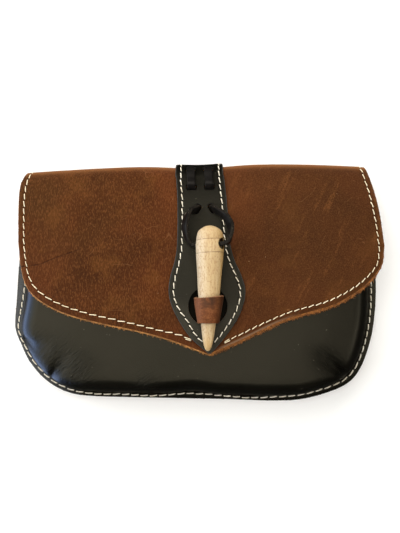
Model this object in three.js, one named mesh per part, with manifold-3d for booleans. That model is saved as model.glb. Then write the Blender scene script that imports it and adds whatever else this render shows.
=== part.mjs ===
// A leather belt bag with an envelope flap and a wooden toggle, lying on its back.
// Millimetres. +X is to the right seen from the front, +Y runs up to the fold, +Z out of the front.
// The origin is under the middle of the bag, on the surface that its belt loop rests on.

import * as THREE from 'three';
import { mergeVertices } from 'three/addons/utils/BufferGeometryUtils.js';
import Module from 'manifold-3d';

const wasm = await Module();
wasm.setup();

// Leather and clearances
const LEATHER = 2.0;
const GAP = 0.3;
const BELT_GAP = 5.0;

// Heights of the leather's middle, from the resting surface up
const BACK_Z = LEATHER + BELT_GAP + LEATHER / 2;
const FLANGE_Z = BACK_Z + LEATHER + GAP;

// The fold over the top: a half round that runs on into the leaning flap
const FOLD_RADIUS = 7.0;
const FOLD_Z = BACK_Z + FOLD_RADIUS;
const FOLD_LEFT = -104.4;
const FOLD_RIGHT = 101.6;
const FOLD_TUCK = { left: 3.0, right: 2.2 };
const FOLD_CREST = { x: 42, y: 71.0 };
const FOLD_SAG = { left: 5.4, right: 1.8 };
const TONGUE_DIP = { x: 1.0, depth: 2.2, reach: 23 };
const LEAN = THREE.MathUtils.degToRad(15);

// The flap's height: it rises from the fold, less and less steeply, and droops to the sides
const FLAP_CURVE = 0.00079;
const SIDE_DROP = { depth: 9, length: 70, x: 2, halfWidth: 110, power: 3 };

// The flap's plan: its lower edge in two halves that meet at the tip, and its two sides
const TIP_X = 7.0;
const FLAP_EDGE_LEFT = [
  [-105.3, 24], [-104.2, 12.5], [-101.6, 0.8], [-95.6, -7.8], [-82, -16],
  [-63.6, -21.8], [-32.8, -28.3], [-13.9, -33.6], [TIP_X, -41.5],
];
const FLAP_EDGE_RIGHT = [
  [TIP_X, -41.5], [23.4, -34.6], [50.9, -22], [79.6, -13.4], [98.4, -2.4], [108.4, 9.6], [109.9, 22],
];
const FLAP_SIDE_LEFT = [[-105.5, 42], [-105.3, 53]];
const FLAP_SIDE_RIGHT = [[107.4, 40], [104.6, 53]];

// The body's plan, from the left end of the fold down and round to the right end
const BODY_OUTLINE = [
  [-104, 36], [-107.4, 13.5], [-109.1, -10], [-110, -26.5], [-106.6, -36.5], [-101.1, -47.8],
  [-91.4, -58.7], [-78.5, -65.9], [-62, -68.4], [-22, -69.4], [18, -70.2], [46, -71.1],
  [66, -69.6], [87.8, -62.3], [98, -52], [104.7, -33.3], [107.4, -13], [107.4, 6], [105.8, 34],
];
const BACK_SIDE_SHARE = 0.17;

// The front panel: a sewn flange that droops, a steep side wall and a crown that lies under the flap
const MOUTH_Y = 38;
const MOUTH_INNER_HALF = 70;
const FLANGE = { low: 3.2, left: 6.0, right: 4.5 };
const FLANGE_LEFT = { x: -70, inner: 25, y: -42, rise: 37 };
const FLANGE_RIGHT = { x: 60, inner: 30 };
const FLANGE_DROOP = { depth: 1.8, reach: 5.5, top: 40, fade: 60 };
const SEAM_WAVE = { x: -3, rise: 1.6, reach: 11, below: -40 };
const WALL_REACH = 10.5;
const WALL_FOOT = 2.6;
const WALL_SHOULDER = 2.0;
const CROWN_DROP = 2.53;
const PUCKERS = [
  { foot: [-106, -33.5], end: [-84, -41], depth: 14, halfWidth: 2.7 },
  { foot: [-88, -58], end: [-72, -37], depth: 6, halfWidth: 3 },
  { foot: [90.5, -57.5], end: [60, -33], depth: 8, halfWidth: 3.3 },
];
const PUCKER_PEAK = 0.2;
const PUCKER_SPREAD = { foot: 0.65, end: 2.2 };

// The tongue's plan: the places of its two edges along the flap
const TONGUE_EDGES = [
  { y: -40.3, left: 6.4, right: 7.6 },
  { y: -31.3, left: -3.8, right: 15.5 },
  { y: -20.5, left: -11.3, right: 23.2 },
  { y: -11.5, left: -15.4, right: 26.8 },
  { y: -4.5, left: -16.6, right: 27.6 },
  { y: 4, left: -15.5, right: 25.2 },
  { y: 12, left: -13.2, right: 21.6 },
  { y: 22, left: -11.8, right: 19.0 },
  { y: 46.5, left: -11.7, right: 17.2 },
  { y: 66, left: -13.0, right: 15.2 },
];
const TONGUE_TAIL_Y = 49;
const TONGUE_LIFT = LEATHER + GAP;

// The keeper hole through the flap and the tongue
const KEEPER_HOLE = { x: 6, y: -13, radius: 11.3, depth: 18 };

// The toggle: its turned profile from the head's top, its lie and its cross bore, whose right end
// is turned to the front
const TOGGLE_PROFILE = [
  { along: 0.25, radius: 1.9 },
  { along: 1.3, radius: 4.3 },
  { along: 3.7, radius: 6.9 },
  { along: 8, radius: 7.8 },
  { along: 15, radius: 8.0 },
  { along: 26.7, radius: 7.0 },
  { along: 39.4, radius: 6.1 },
  { along: 55.6, radius: 4.3 },
  { along: 63.3, radius: 3.3 },
  { along: 68.1, radius: 2.4 },
  { along: 70.8, radius: 1.3 },
];
const TOGGLE_LENGTH = 71.5;
const TOGGLE_HEAD = { x: 7.4, y: 33.2, z: 42.9 };
const TOGGLE_TILT = THREE.MathUtils.degToRad(5);
const TOGGLE_TURN = THREE.MathUtils.degToRad(1.2);
const CROSS_BORE = { along: 10.6, radius: 3.2, turn: THREE.MathUtils.degToRad(31) };

// The keeper loop: where its band stands on the front panel and where its arch leans to
const KEEPER_FOOT_Y = { upper: -6.7, lower: -19.7 };
const KEEPER_ARCH_Y = { upper: -7.4, lower: -22.2 };
const KEEPER_X = 6.4;
const KEEPER_LEATHER = 1.8;
const KEEPER_PLAY = { upper: 0.95, lower: 0.2 };
const KEEPER_SKEW = 0.65;
const KEEPER_CORNER = 1.5;
const KEEPER_FOOT_GAP = 0.45;

// The lace: a flat thong, the slots that it runs through and its route
const LACE = { width: 5.0, thickness: 2.4 };
const SLOT = { length: 6.4, width: 4.0, depth: 9 };
const SLOT_STATIONS = { top: -3.5, low: 6.5, hole: 19.5 };
const LOOP_HOLE_TURN = THREE.MathUtils.degToRad(60);
const LACE_SIDES = [
  { topX: -4.1, lowX: -3.5, holeX: -0.2, outward: -1 },
  { topX: 6.4, lowX: 7.1, holeX: 8.6, outward: 1 },
];
// across runs from the top slot at 0 and the lower slot at 1 to the loop hole at 2
const LACE_THREADING = [
  { across: 0, station: -3.9, height: -5.2 },
  { across: 0, station: -3.9, height: -1 },
  { across: 0, station: -3.8, height: 2.8 },
  { across: 0.1, station: -2.2, height: 4.9 },
  { across: 0.5, station: 1.5, height: 4.8 },
  { across: 0.9, station: 5.2, height: 4.9 },
  { across: 1, station: 6.9, height: 2.8 },
  { across: 1, station: 6.9, height: -0.6 },
  { across: 1.05, station: 7.6, height: -2.9 },
  { across: 1.4, station: 12, height: -3.6 },
  { across: 1.8, station: 16.8, height: -4.3 },
  { across: 2, station: 19.3, height: -2.0 },
  { across: 2, station: 19.5, height: 1 },
  { across: 2, station: 19.5, height: 3.4 },
];
// wide is the way that the thong's broad side runs
const LACE_LOOP_LEFT = [
  { x: -1.6, y: 42.8, z: 33.8, wide: [0.5, 0.85, 0.1] },
  { x: -4.6, y: 41.4, z: 36.2, wide: [0.5, 0.6, 0.6] },
  { x: -6.7, y: 36.4, z: 38.0, wide: [0.62, 0.2, 0.76] },
  { x: -6.8, y: 30.5, z: 38.6, wide: [0.6, 0, 0.8] },
  { x: -5.4, y: 25.2, z: 38.4, wide: [0.4, 0.1, 0.9] },
  { x: -2.9, y: 22.4, z: 37.8, wide: [-0.1, 0.15, 0.98] },
];
const LACE_LOOP_RIGHT = [
  { x: 17.4, y: 23.8, z: 49.4, wide: [-0.35, 0, 0.93] },
  { x: 19.0, y: 28.2, z: 48.0, wide: [0.15, 0, 0.98] },
  { x: 18.7, y: 33.4, z: 45.0, wide: [0.6, 0, 0.8] },
  { x: 16.2, y: 38.4, z: 41.0, wide: [0.45, 0.5, 0.74] },
  { x: 12.6, y: 41.4, z: 37.0, wide: [-0.1, 0.8, 0.6] },
  { x: 10.0, y: 43.0, z: 33.8, wide: [-0.45, 0.85, 0.1] },
];
const LACE_BORE_OFFSETS = [-9, 0, 9];

// The belt loop: a flat strip with a sewn margin at each end
const BELT_LOOP = { width: 90, top: 43, bottom: -39, margin: 10, ramp: 9 };

// How finely the leather is divided
const FLAP_COLUMNS = 28;
const FLAP_ROWS = 13;
const FOLD_ROWS = 7;
const BACK_ROWS = 10;
const PANEL_RAYS = 90;
const PANEL_INNER_ROWS = 4;
const WALL_STATIONS = [0, 0.2, 0.38, 0.54, 0.7, 0.85, 1];
const TONGUE_COLUMNS = 6;
const TONGUE_ROWS = 16;
const TONGUE_TAIL_ROWS = 2;
const ROUND_SIDES = 20;
const HOLE_SIDES = 28;
const BORE_SIDES = 12;
const ARCH_STEPS = 8;
const RAMP_STEPS = 6;
const LACE_STEPS = 2;

// Fineness of the working-out: samples, halvings and small distances
const OUTLINE_SAMPLES = 200;
const OUTLINE_UPPER_PART = 0.3;
const HALVINGS = 40;
const SKIN_STEP = 0.05;
const MERGE_DISTANCE = 1e-3;

function blend(from, to, share) {
  return from + (to - from) * share;
}

function smoothStep(share) {
  const held = Math.min(Math.max(share, 0), 1);
  return held * held * (3 - 2 * held);
}

function splineThrough(points) {
  return new THREE.SplineCurve(points.map(([x, y]) => new THREE.Vector2(x, y)));
}

// A value read from a table's column by a smooth curve through its rows
function readTable(rows, key, position, column) {
  const last = rows.length - 1;
  let row = 0;
  while (row < last - 1 && position > rows[row + 1][key]) {
    row += 1;
  }
  const slopeAt = (k) => {
    const before = rows[Math.max(k - 1, 0)];
    const after = rows[Math.min(k + 1, last)];
    return (after[column] - before[column]) / (after[key] - before[key]);
  };
  const start = rows[row];
  const end = rows[row + 1];
  const span = end[key] - start[key];
  const share = (position - start[key]) / span;
  const eased = smoothStep(share);
  const rest = 1 - share;
  return blend(start[column], end[column], eased)
    + span * share * rest * (slopeAt(row) * rest - slopeAt(row + 1) * share);
}

// The plan point of a patch between four edges that meet at its corners
function patchPoint(edges, u, v) {
  const alongRows = edges.low(u).lerp(edges.high(u), v);
  const alongColumns = edges.left(v).lerp(edges.right(v), u);
  const lowCorners = edges.low(0).lerp(edges.low(1), u);
  const highCorners = edges.high(0).lerp(edges.high(1), u);
  return alongRows.add(alongColumns).sub(lowCorners.lerp(highCorners, v));
}

// The fold line's outermost place, the middle of its round and where the flap leaves it
function foldEdgeY(x) {
  const left = Math.max(FOLD_CREST.x - x, 0) / (FOLD_CREST.x - FOLD_LEFT);
  const right = Math.max(x - FOLD_CREST.x, 0) / (FOLD_RIGHT - FOLD_CREST.x);
  const sag = FOLD_SAG.left * left ** 2 + FOLD_SAG.right * right ** 2;
  const dip = TONGUE_DIP.depth * Math.exp(-(((x - TONGUE_DIP.x) / TONGUE_DIP.reach) ** 2));
  return FOLD_CREST.y - sag - dip;
}

function foldCentreY(x) {
  return foldEdgeY(x) - FOLD_RADIUS - LEATHER / 2;
}

function tangentY(x) {
  return foldCentreY(x) + FOLD_RADIUS * Math.sin(LEAN);
}

// The height of the flap's middle over a plan point
function flapHeight(x, y) {
  const down = Math.max(tangentY(x) - y, 0);
  const rise = Math.tan(LEAN) * down - FLAP_CURVE * down ** 2;
  const aside = Math.abs(x - SIDE_DROP.x) / SIDE_DROP.halfWidth;
  const drop = SIDE_DROP.depth * smoothStep(down / SIDE_DROP.length) * aside ** SIDE_DROP.power;
  return FOLD_Z + FOLD_RADIUS * Math.cos(LEAN) + rise - drop;
}

// A point of the flap's middle skin: stations run down the front from the fold's tangent, and
// below zero they run back over the fold and down the back
function skinPoint(x, station) {
  if (station >= 0) {
    const y = tangentY(x) - station;
    return new THREE.Vector3(x, y, flapHeight(x, y));
  }
  const angle = LEAN - station / FOLD_RADIUS;
  if (angle <= Math.PI) {
    const y = foldCentreY(x) + FOLD_RADIUS * Math.sin(angle);
    return new THREE.Vector3(x, y, FOLD_Z + FOLD_RADIUS * Math.cos(angle));
  }
  return new THREE.Vector3(x, foldCentreY(x) - (angle - Math.PI) * FOLD_RADIUS, BACK_Z);
}

function skinNormal(x, station) {
  const across = skinPoint(x + SKIN_STEP, station).sub(skinPoint(x - SKIN_STEP, station));
  const along = skinPoint(x, station - SKIN_STEP).sub(skinPoint(x, station + SKIN_STEP));
  return across.cross(along).normalize();
}

function aboveSkin(x, station, height) {
  return skinPoint(x, station).addScaledVector(skinNormal(x, station), height);
}

// The direction out of a grid of points, from its neighbours along both ways
function gridNormal(grid, i, j, closed) {
  const rows = grid.length;
  const columns = grid[0].length;
  const before = closed ? (j + columns - 1) % columns : Math.max(j - 1, 0);
  const after = closed ? (j + 1) % columns : Math.min(j + 1, columns - 1);
  const across = grid[i][after].clone().sub(grid[i][before]);
  const along = grid[Math.min(i + 1, rows - 1)][j].clone().sub(grid[Math.max(i - 1, 0)][j]);
  return across.cross(along).normalize();
}

// A closed wall of even thickness around a grid of middle points; a closed grid is a ring
function wallAlong(grid, thickness, closed = false) {
  const rows = grid.length;
  const columns = grid[0].length;
  const positions = [];
  for (const side of [0.5, -0.5]) {
    for (let i = 0; i < rows; i += 1) {
      for (let j = 0; j < columns; j += 1) {
        const normal = gridNormal(grid, i, j, closed);
        const point = grid[i][j].clone().addScaledVector(normal, side * thickness);
        positions.push(point.x, point.y, point.z);
      }
    }
  }
  const outer = (i, j) => i * columns + (j % columns);
  const inner = (i, j) => (rows + i) * columns + (j % columns);
  const index = [];
  const quad = (a, b, c, d) => index.push(a, b, c, a, c, d);
  const lastRow = rows - 1;
  const spans = closed ? columns : columns - 1;
  for (let j = 0; j < spans; j += 1) {
    for (let i = 0; i < lastRow; i += 1) {
      quad(outer(i, j), outer(i, j + 1), outer(i + 1, j + 1), outer(i + 1, j));
      quad(inner(i, j), inner(i + 1, j), inner(i + 1, j + 1), inner(i, j + 1));
    }
    quad(outer(0, j), inner(0, j), inner(0, j + 1), outer(0, j + 1));
    quad(outer(lastRow, j), outer(lastRow, j + 1), inner(lastRow, j + 1), inner(lastRow, j));
  }
  if (!closed) {
    for (let i = 0; i < lastRow; i += 1) {
      quad(outer(i, 0), outer(i + 1, 0), inner(i + 1, 0), inner(i, 0));
      quad(outer(i, spans), inner(i, spans), inner(i + 1, spans), outer(i + 1, spans));
    }
  }
  const geometry = new THREE.BufferGeometry();
  geometry.setAttribute('position', new THREE.Float32BufferAttribute(positions, 3));
  geometry.setIndex(index);
  return geometry;
}

// Solids for cutting, and back to geometry
function toSolid(geometry) {
  const bare = geometry.clone();
  bare.deleteAttribute('normal');
  bare.deleteAttribute('uv');
  const merged = mergeVertices(bare, MERGE_DISTANCE);
  const corners = merged.index.array;
  const triangles = [];
  for (let k = 0; k < corners.length; k += 3) {
    const [a, b, c] = [corners[k], corners[k + 1], corners[k + 2]];
    if (a !== b && b !== c && c !== a) {
      triangles.push(a, b, c);
    }
  }
  return new wasm.Manifold(new wasm.Mesh({
    numProp: 3,
    vertProperties: new Float32Array(merged.attributes.position.array),
    triVerts: new Uint32Array(triangles),
  }));
}

function toGeometry(solid) {
  const mesh = solid.getMesh();
  const geometry = new THREE.BufferGeometry();
  geometry.setAttribute('position', new THREE.Float32BufferAttribute(mesh.vertProperties, 3));
  geometry.setIndex(Array.from(mesh.triVerts));
  geometry.computeVertexNormals();
  return geometry;
}

function cutAway(geometry, cutters) {
  let solid = toSolid(geometry);
  for (const cutter of cutters) {
    solid = solid.subtract(toSolid(cutter));
  }
  return toGeometry(solid);
}

// The body's outline, and how far inside it a plan point lies
const bodyOutline = splineThrough([
  [FOLD_LEFT, foldCentreY(FOLD_LEFT)],
  ...BODY_OUTLINE,
  [FOLD_RIGHT, foldCentreY(FOLD_RIGHT)],
]);
const outlinePoints = bodyOutline.getSpacedPoints(OUTLINE_SAMPLES);

function insideOutline(x, y) {
  let nearest = Infinity;
  for (let k = 1; k < outlinePoints.length; k += 1) {
    const start = outlinePoints[k - 1];
    const run = outlinePoints[k].clone().sub(start);
    const offset = new THREE.Vector2(x, y).sub(start);
    const share = Math.min(Math.max(offset.dot(run) / run.lengthSq(), 0), 1);
    nearest = Math.min(nearest, offset.addScaledVector(run, -share).length());
  }
  return nearest;
}

// The part of the outline at a height, found by halving between two shares of its length
function outlineShareAt(y, from, to) {
  let [above, below] = [from, to];
  for (let k = 0; k < HALVINGS; k += 1) {
    const middle = (above + below) / 2;
    if (bodyOutline.getPointAt(middle).y > y) {
      above = middle;
    } else {
      below = middle;
    }
  }
  return above;
}

// The front panel's height: flange, side wall, crown and puckers
const wallProfile = new THREE.CubicBezierCurve(
  new THREE.Vector2(0, 0),
  new THREE.Vector2(WALL_FOOT, 0),
  new THREE.Vector2(WALL_SHOULDER, 1),
  new THREE.Vector2(WALL_REACH, 1),
);

function wallRise(inside) {
  if (inside <= 0) {
    return 0;
  }
  if (inside >= WALL_REACH) {
    return 1;
  }
  let [low, high] = [0, 1];
  for (let k = 0; k < HALVINGS; k += 1) {
    const middle = (low + high) / 2;
    if (wallProfile.getPoint(middle).x < inside) {
      low = middle;
    } else {
      high = middle;
    }
  }
  return wallProfile.getPoint(low).y;
}

// The flange is wider up the left side and on the right, and waves in at one place of the bottom
function flangeWidth(x, y) {
  const aboveLow = smoothStep((y - FLANGE_LEFT.y) / FLANGE_LEFT.rise);
  const left = aboveLow * smoothStep((FLANGE_LEFT.x - x) / FLANGE_LEFT.inner);
  const right = smoothStep((x - FLANGE_RIGHT.x) / FLANGE_RIGHT.inner);
  const wave = SEAM_WAVE.rise * Math.exp(-(((x - SEAM_WAVE.x) / SEAM_WAVE.reach) ** 2));
  const waving = y < SEAM_WAVE.below ? wave : 0;
  return FLANGE.low + (FLANGE.left - FLANGE.low) * left + (FLANGE.right - FLANGE.low) * right + waving;
}

function puckerDepth(x, y) {
  let depth = 0;
  for (const pucker of PUCKERS) {
    const foot = new THREE.Vector2(...pucker.foot);
    const way = new THREE.Vector2(...pucker.end).sub(foot);
    const length = way.length();
    way.normalize();
    const offset = new THREE.Vector2(x, y).sub(foot);
    const along = Math.min(Math.max(offset.dot(way) / length, 0), 1);
    const aside = Math.abs(offset.cross(way));
    const run = (along / PUCKER_PEAK) * Math.exp(1 - along / PUCKER_PEAK) * (1 - along);
    const reach = pucker.halfWidth * blend(PUCKER_SPREAD.foot, PUCKER_SPREAD.end, along);
    depth += pucker.depth * run * Math.exp(-((aside / reach) ** 2));
  }
  return depth;
}

// How far the sewn edge droops, most at the outline and less towards the fold
function edgeDroop(x, y) {
  const outer = Math.max(1 - insideOutline(x, y) / FLANGE_DROOP.reach, 0);
  return FLANGE_DROOP.depth * outer * smoothStep((FLANGE_DROOP.top - y) / FLANGE_DROOP.fade);
}

function panelHeight(x, y) {
  const rise = wallRise(insideOutline(x, y) - flangeWidth(x, y));
  const crown = flapHeight(x, y) - CROWN_DROP;
  return FLANGE_Z - edgeDroop(x, y) + (crown - FLANGE_Z - puckerDepth(x, y)) * rise;
}

// The back panel and flap: one sheet from the flap's lower edge over the fold to the body's outline
// The fold's ends are drawn in where it is tucked
function foldX(u, tucked = 0) {
  const left = FOLD_LEFT + FOLD_TUCK.left * tucked;
  const right = FOLD_RIGHT - FOLD_TUCK.right * tucked;
  return u < 0.5 ? blend(left, TIP_X, 2 * u) : blend(TIP_X, right, 2 * u - 1);
}

function flapGrid() {
  const edgeLeft = splineThrough(FLAP_EDGE_LEFT);
  const edgeRight = splineThrough(FLAP_EDGE_RIGHT);
  const cornerLeft = FLAP_EDGE_LEFT[0];
  const cornerRight = FLAP_EDGE_RIGHT.at(-1);
  const sideLeft = splineThrough([cornerLeft, ...FLAP_SIDE_LEFT, [FOLD_LEFT, tangentY(FOLD_LEFT)]]);
  const sideRight = splineThrough([cornerRight, ...FLAP_SIDE_RIGHT, [FOLD_RIGHT, tangentY(FOLD_RIGHT)]]);
  const front = {
    low: (u) => (u < 0.5 ? edgeLeft.getPointAt(2 * u) : edgeRight.getPointAt(2 * u - 1)),
    high: (u) => new THREE.Vector2(foldX(u), tangentY(foldX(u))),
    left: (v) => sideLeft.getPointAt(v),
    right: (v) => sideRight.getPointAt(v),
  };
  const back = {
    low: (u) => new THREE.Vector2(foldX(u), foldCentreY(foldX(u))),
    high: (u) => bodyOutline.getPointAt(blend(BACK_SIDE_SHARE, 1 - BACK_SIDE_SHARE, u)),
    left: (v) => bodyOutline.getPointAt(v * BACK_SIDE_SHARE),
    right: (v) => bodyOutline.getPointAt(1 - v * BACK_SIDE_SHARE),
  };
  const columns = Array.from({ length: FLAP_COLUMNS + 1 }, (_, j) => j / FLAP_COLUMNS);
  const grid = [];
  for (let i = 0; i < FLAP_ROWS; i += 1) {
    grid.push(columns.map((u) => {
      const plan = patchPoint(front, u, i / FLAP_ROWS);
      return new THREE.Vector3(plan.x, plan.y, flapHeight(plan.x, plan.y));
    }));
  }
  const foldLength = FOLD_RADIUS * (Math.PI - LEAN);
  for (let i = 0; i < FOLD_ROWS; i += 1) {
    const share = i / FOLD_ROWS;
    const tucked = Math.sin(Math.PI * share);
    grid.push(columns.map((u) => skinPoint(foldX(u, tucked), -foldLength * share)));
  }
  for (let i = 0; i <= BACK_ROWS; i += 1) {
    grid.push(columns.map((u) => {
      const plan = patchPoint(back, u, i / BACK_ROWS);
      return new THREE.Vector3(plan.x, plan.y, BACK_Z - edgeDroop(plan.x, plan.y));
    }));
  }
  return grid;
}

// The cutters through the flap and the tongue, each along the skin's normal
function keeperHoleCutter() {
  const cutter = new THREE.CylinderGeometry(
    KEEPER_HOLE.radius, KEEPER_HOLE.radius, KEEPER_HOLE.depth, HOLE_SIDES,
  );
  cutter.rotateX(Math.PI / 2);
  cutter.translate(KEEPER_HOLE.x, KEEPER_HOLE.y, flapHeight(KEEPER_HOLE.x, KEEPER_HOLE.y));
  return cutter;
}

function slotCutter(x, station, turn) {
  const cutter = new THREE.BoxGeometry(SLOT.length, SLOT.width, SLOT.depth);
  cutter.rotateZ(turn);
  const normal = skinNormal(x, station);
  const upright = new THREE.Quaternion().setFromUnitVectors(new THREE.Vector3(0, 0, 1), normal);
  cutter.applyQuaternion(upright);
  const middle = aboveSkin(x, station, TONGUE_LIFT / 2);
  cutter.translate(middle.x, middle.y, middle.z);
  return cutter;
}

function flapCutters() {
  const cutters = [keeperHoleCutter()];
  for (const side of LACE_SIDES) {
    cutters.push(slotCutter(side.topX, SLOT_STATIONS.top, 0));
    cutters.push(slotCutter(side.lowX, SLOT_STATIONS.low, 0));
    cutters.push(slotCutter(side.holeX, SLOT_STATIONS.hole, -side.outward * LOOP_HOLE_TURN));
  }
  return cutters;
}

function backFlap() {
  return cutAway(wallAlong(flapGrid(), LEATHER), flapCutters());
}

// The front panel: rays from the mouth's edge out to the body's outline
function frontPanel() {
  const shareLeft = outlineShareAt(MOUTH_Y, 0, OUTLINE_UPPER_PART);
  const shareRight = outlineShareAt(MOUTH_Y, 1, 1 - OUTLINE_UPPER_PART);
  const grid = Array.from({ length: WALL_STATIONS.length + PANEL_INNER_ROWS + 2 }, () => []);
  for (let ray = 0; ray <= PANEL_RAYS; ray += 1) {
    const share = ray / PANEL_RAYS;
    const along = blend(shareLeft, shareRight, share);
    const edge = bodyOutline.getPointAt(along);
    const tangent = bodyOutline.getTangentAt(along);
    const mouth = new THREE.Vector2(blend(-MOUTH_INNER_HALF, MOUTH_INNER_HALF, share), MOUTH_Y);
    const inward = mouth.clone().sub(edge);
    const length = inward.length();
    inward.normalize();
    const squareness = Math.abs(inward.cross(tangent));
    const flange = flangeWidth(edge.x, edge.y) / squareness;
    const wallEnd = flange + WALL_REACH / squareness;
    const distances = [0, flange / 2];
    for (const station of WALL_STATIONS) {
      distances.push(flange + wallProfile.getPoint(station).x / squareness);
    }
    for (let row = 1; row <= PANEL_INNER_ROWS; row += 1) {
      distances.push(blend(wallEnd, length, row / PANEL_INNER_ROWS));
    }
    distances.forEach((distance, row) => {
      const plan = edge.clone().addScaledVector(inward, distance);
      grid[row].push(new THREE.Vector3(plan.x, plan.y, panelHeight(plan.x, plan.y)));
    });
  }
  return wallAlong(grid, LEATHER);
}

// The tongue: a strip on the flap, over the fold and a little way down the back
function tongue() {
  const foldLength = FOLD_RADIUS * (Math.PI - LEAN);
  const grid = [];
  const rowAt = (left, right, stationOf) => {
    const row = [];
    for (let j = 0; j <= TONGUE_COLUMNS; j += 1) {
      const x = blend(left, right, j / TONGUE_COLUMNS);
      row.push(aboveSkin(x, stationOf(x), TONGUE_LIFT));
    }
    return row;
  };
  const tip = TONGUE_EDGES[0];
  const top = TONGUE_EDGES.at(-1);
  for (let i = 0; i < TONGUE_ROWS; i += 1) {
    const share = i / TONGUE_ROWS;
    const y = blend(tip.y, tangentY(TONGUE_DIP.x), share);
    const left = readTable(TONGUE_EDGES, 'y', y, 'left');
    const right = readTable(TONGUE_EDGES, 'y', y, 'right');
    grid.push(rowAt(left, right, (x) => blend(tangentY(x) - tip.y, 0, share)));
  }
  for (let i = 0; i <= FOLD_ROWS; i += 1) {
    grid.push(rowAt(top.left, top.right, () => (-foldLength * i) / FOLD_ROWS));
  }
  const tail = foldCentreY(TONGUE_DIP.x) - TONGUE_TAIL_Y;
  for (let i = 1; i <= TONGUE_TAIL_ROWS; i += 1) {
    grid.push(rowAt(top.left, top.right, () => -foldLength - (tail * i) / TONGUE_TAIL_ROWS));
  }
  return cutAway(wallAlong(grid, LEATHER), flapCutters());
}

// The toggle, turned about its own axis from the head down to the tip, with the bore across it
function toggleRadius(along) {
  return readTable(TOGGLE_PROFILE, 'along', along, 'radius');
}

function toggle() {
  const profile = [new THREE.Vector2(0, -TOGGLE_LENGTH)];
  for (const { along, radius } of [...TOGGLE_PROFILE].reverse()) {
    profile.push(new THREE.Vector2(radius, -along));
  }
  profile.push(new THREE.Vector2(0, 0));
  const turned = new THREE.LatheGeometry(profile, ROUND_SIDES);
  const bore = new THREE.CylinderGeometry(
    CROSS_BORE.radius, CROSS_BORE.radius, TOGGLE_LENGTH, BORE_SIDES,
  );
  bore.rotateZ(Math.PI / 2);
  bore.rotateY(-CROSS_BORE.turn);
  bore.translate(0, -CROSS_BORE.along, 0);
  return cutAway(turned, [bore]);
}

function placeToggle(mesh) {
  mesh.position.set(TOGGLE_HEAD.x, TOGGLE_HEAD.y, TOGGLE_HEAD.z);
  mesh.rotation.set(-TOGGLE_TILT, 0, -TOGGLE_TURN);
}

function fromToggle(x, y, z) {
  const rotation = new THREE.Euler(-TOGGLE_TILT, 0, -TOGGLE_TURN);
  const offset = new THREE.Vector3(x, y, z).applyEuler(rotation);
  return offset.add(new THREE.Vector3(TOGGLE_HEAD.x, TOGGLE_HEAD.y, TOGGLE_HEAD.z));
}

function toggleAxisPoint(along) {
  return fromToggle(0, -along, 0);
}

function borePoint(offset) {
  const [x, z] = [offset * Math.cos(CROSS_BORE.turn), offset * Math.sin(CROSS_BORE.turn)];
  return fromToggle(x, -CROSS_BORE.along, z);
}

// The keeper loop: a flat foot on the front panel, two legs and an arch over the toggle
function keeperRing(share) {
  const footY = blend(KEEPER_FOOT_Y.upper, KEEPER_FOOT_Y.lower, share);
  const archY = blend(KEEPER_ARCH_Y.upper, KEEPER_ARCH_Y.lower, share);
  const along = (TOGGLE_HEAD.y - archY) / Math.cos(TOGGLE_TILT);
  const axis = toggleAxisPoint(along);
  const play = blend(KEEPER_PLAY.upper, KEEPER_PLAY.lower, share);
  const skew = KEEPER_SKEW * (1 - share);
  const half = toggleRadius(along) + play + KEEPER_LEATHER / 2;
  const footZ = flapHeight(KEEPER_X, footY) - CROWN_DROP + LEATHER + KEEPER_FOOT_GAP;
  const ring = [];
  for (let k = 0; k <= ARCH_STEPS; k += 1) {
    const angle = (Math.PI * k) / ARCH_STEPS;
    const [across, up] = [Math.cos(angle), Math.sin(angle)];
    ring.push(new THREE.Vector3(axis.x + half * across, archY + skew * across, axis.z + half * up));
  }
  const legLeft = axis.x - half;
  const legRight = axis.x + half;
  ring.push(new THREE.Vector3(legLeft, footY - 2 * skew, footZ + KEEPER_CORNER));
  ring.push(new THREE.Vector3(legLeft + KEEPER_CORNER, footY - 2 * skew, footZ));
  ring.push(new THREE.Vector3(axis.x, footY - skew, footZ));
  ring.push(new THREE.Vector3(legRight - KEEPER_CORNER, footY, footZ));
  ring.push(new THREE.Vector3(legRight, footY, footZ + KEEPER_CORNER));
  return ring;
}

function keeperLoop() {
  return wallAlong([0, 0.5, 1].map(keeperRing), KEEPER_LEATHER, true);
}

// The lace: its route from one hidden end to the other, and the way its broad side runs
function laceRoute() {
  const threaded = (side) => {
    const places = [side.topX, side.lowX, side.holeX];
    const level = new THREE.Vector3(-side.outward, 0, 0);
    const atHole = new THREE.Vector3(-side.outward, Math.tan(LOOP_HOLE_TURN), 0).normalize();
    return LACE_THREADING.map(({ across, station, height }) => {
      const from = Math.min(Math.floor(across), 1);
      const x = blend(places[from], places[from + 1], across - from);
      const wide = level.clone().lerp(atHole, smoothStep(across - 1));
      return { point: aboveSkin(x, station, height), wide };
    });
  };
  const looped = ({ x, y, z, wide }) => ({
    point: new THREE.Vector3(x, y, z),
    wide: new THREE.Vector3(...wide),
  });
  const bored = LACE_BORE_OFFSETS.map((offset) => ({
    point: borePoint(offset),
    wide: new THREE.Vector3(-Math.sin(CROSS_BORE.turn), 0, Math.cos(CROSS_BORE.turn)),
  }));
  return [
    ...threaded(LACE_SIDES[0]),
    ...LACE_LOOP_LEFT.map(looped),
    ...bored,
    ...LACE_LOOP_RIGHT.map(looped),
    ...threaded(LACE_SIDES[1]).reverse(),
  ];
}

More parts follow.
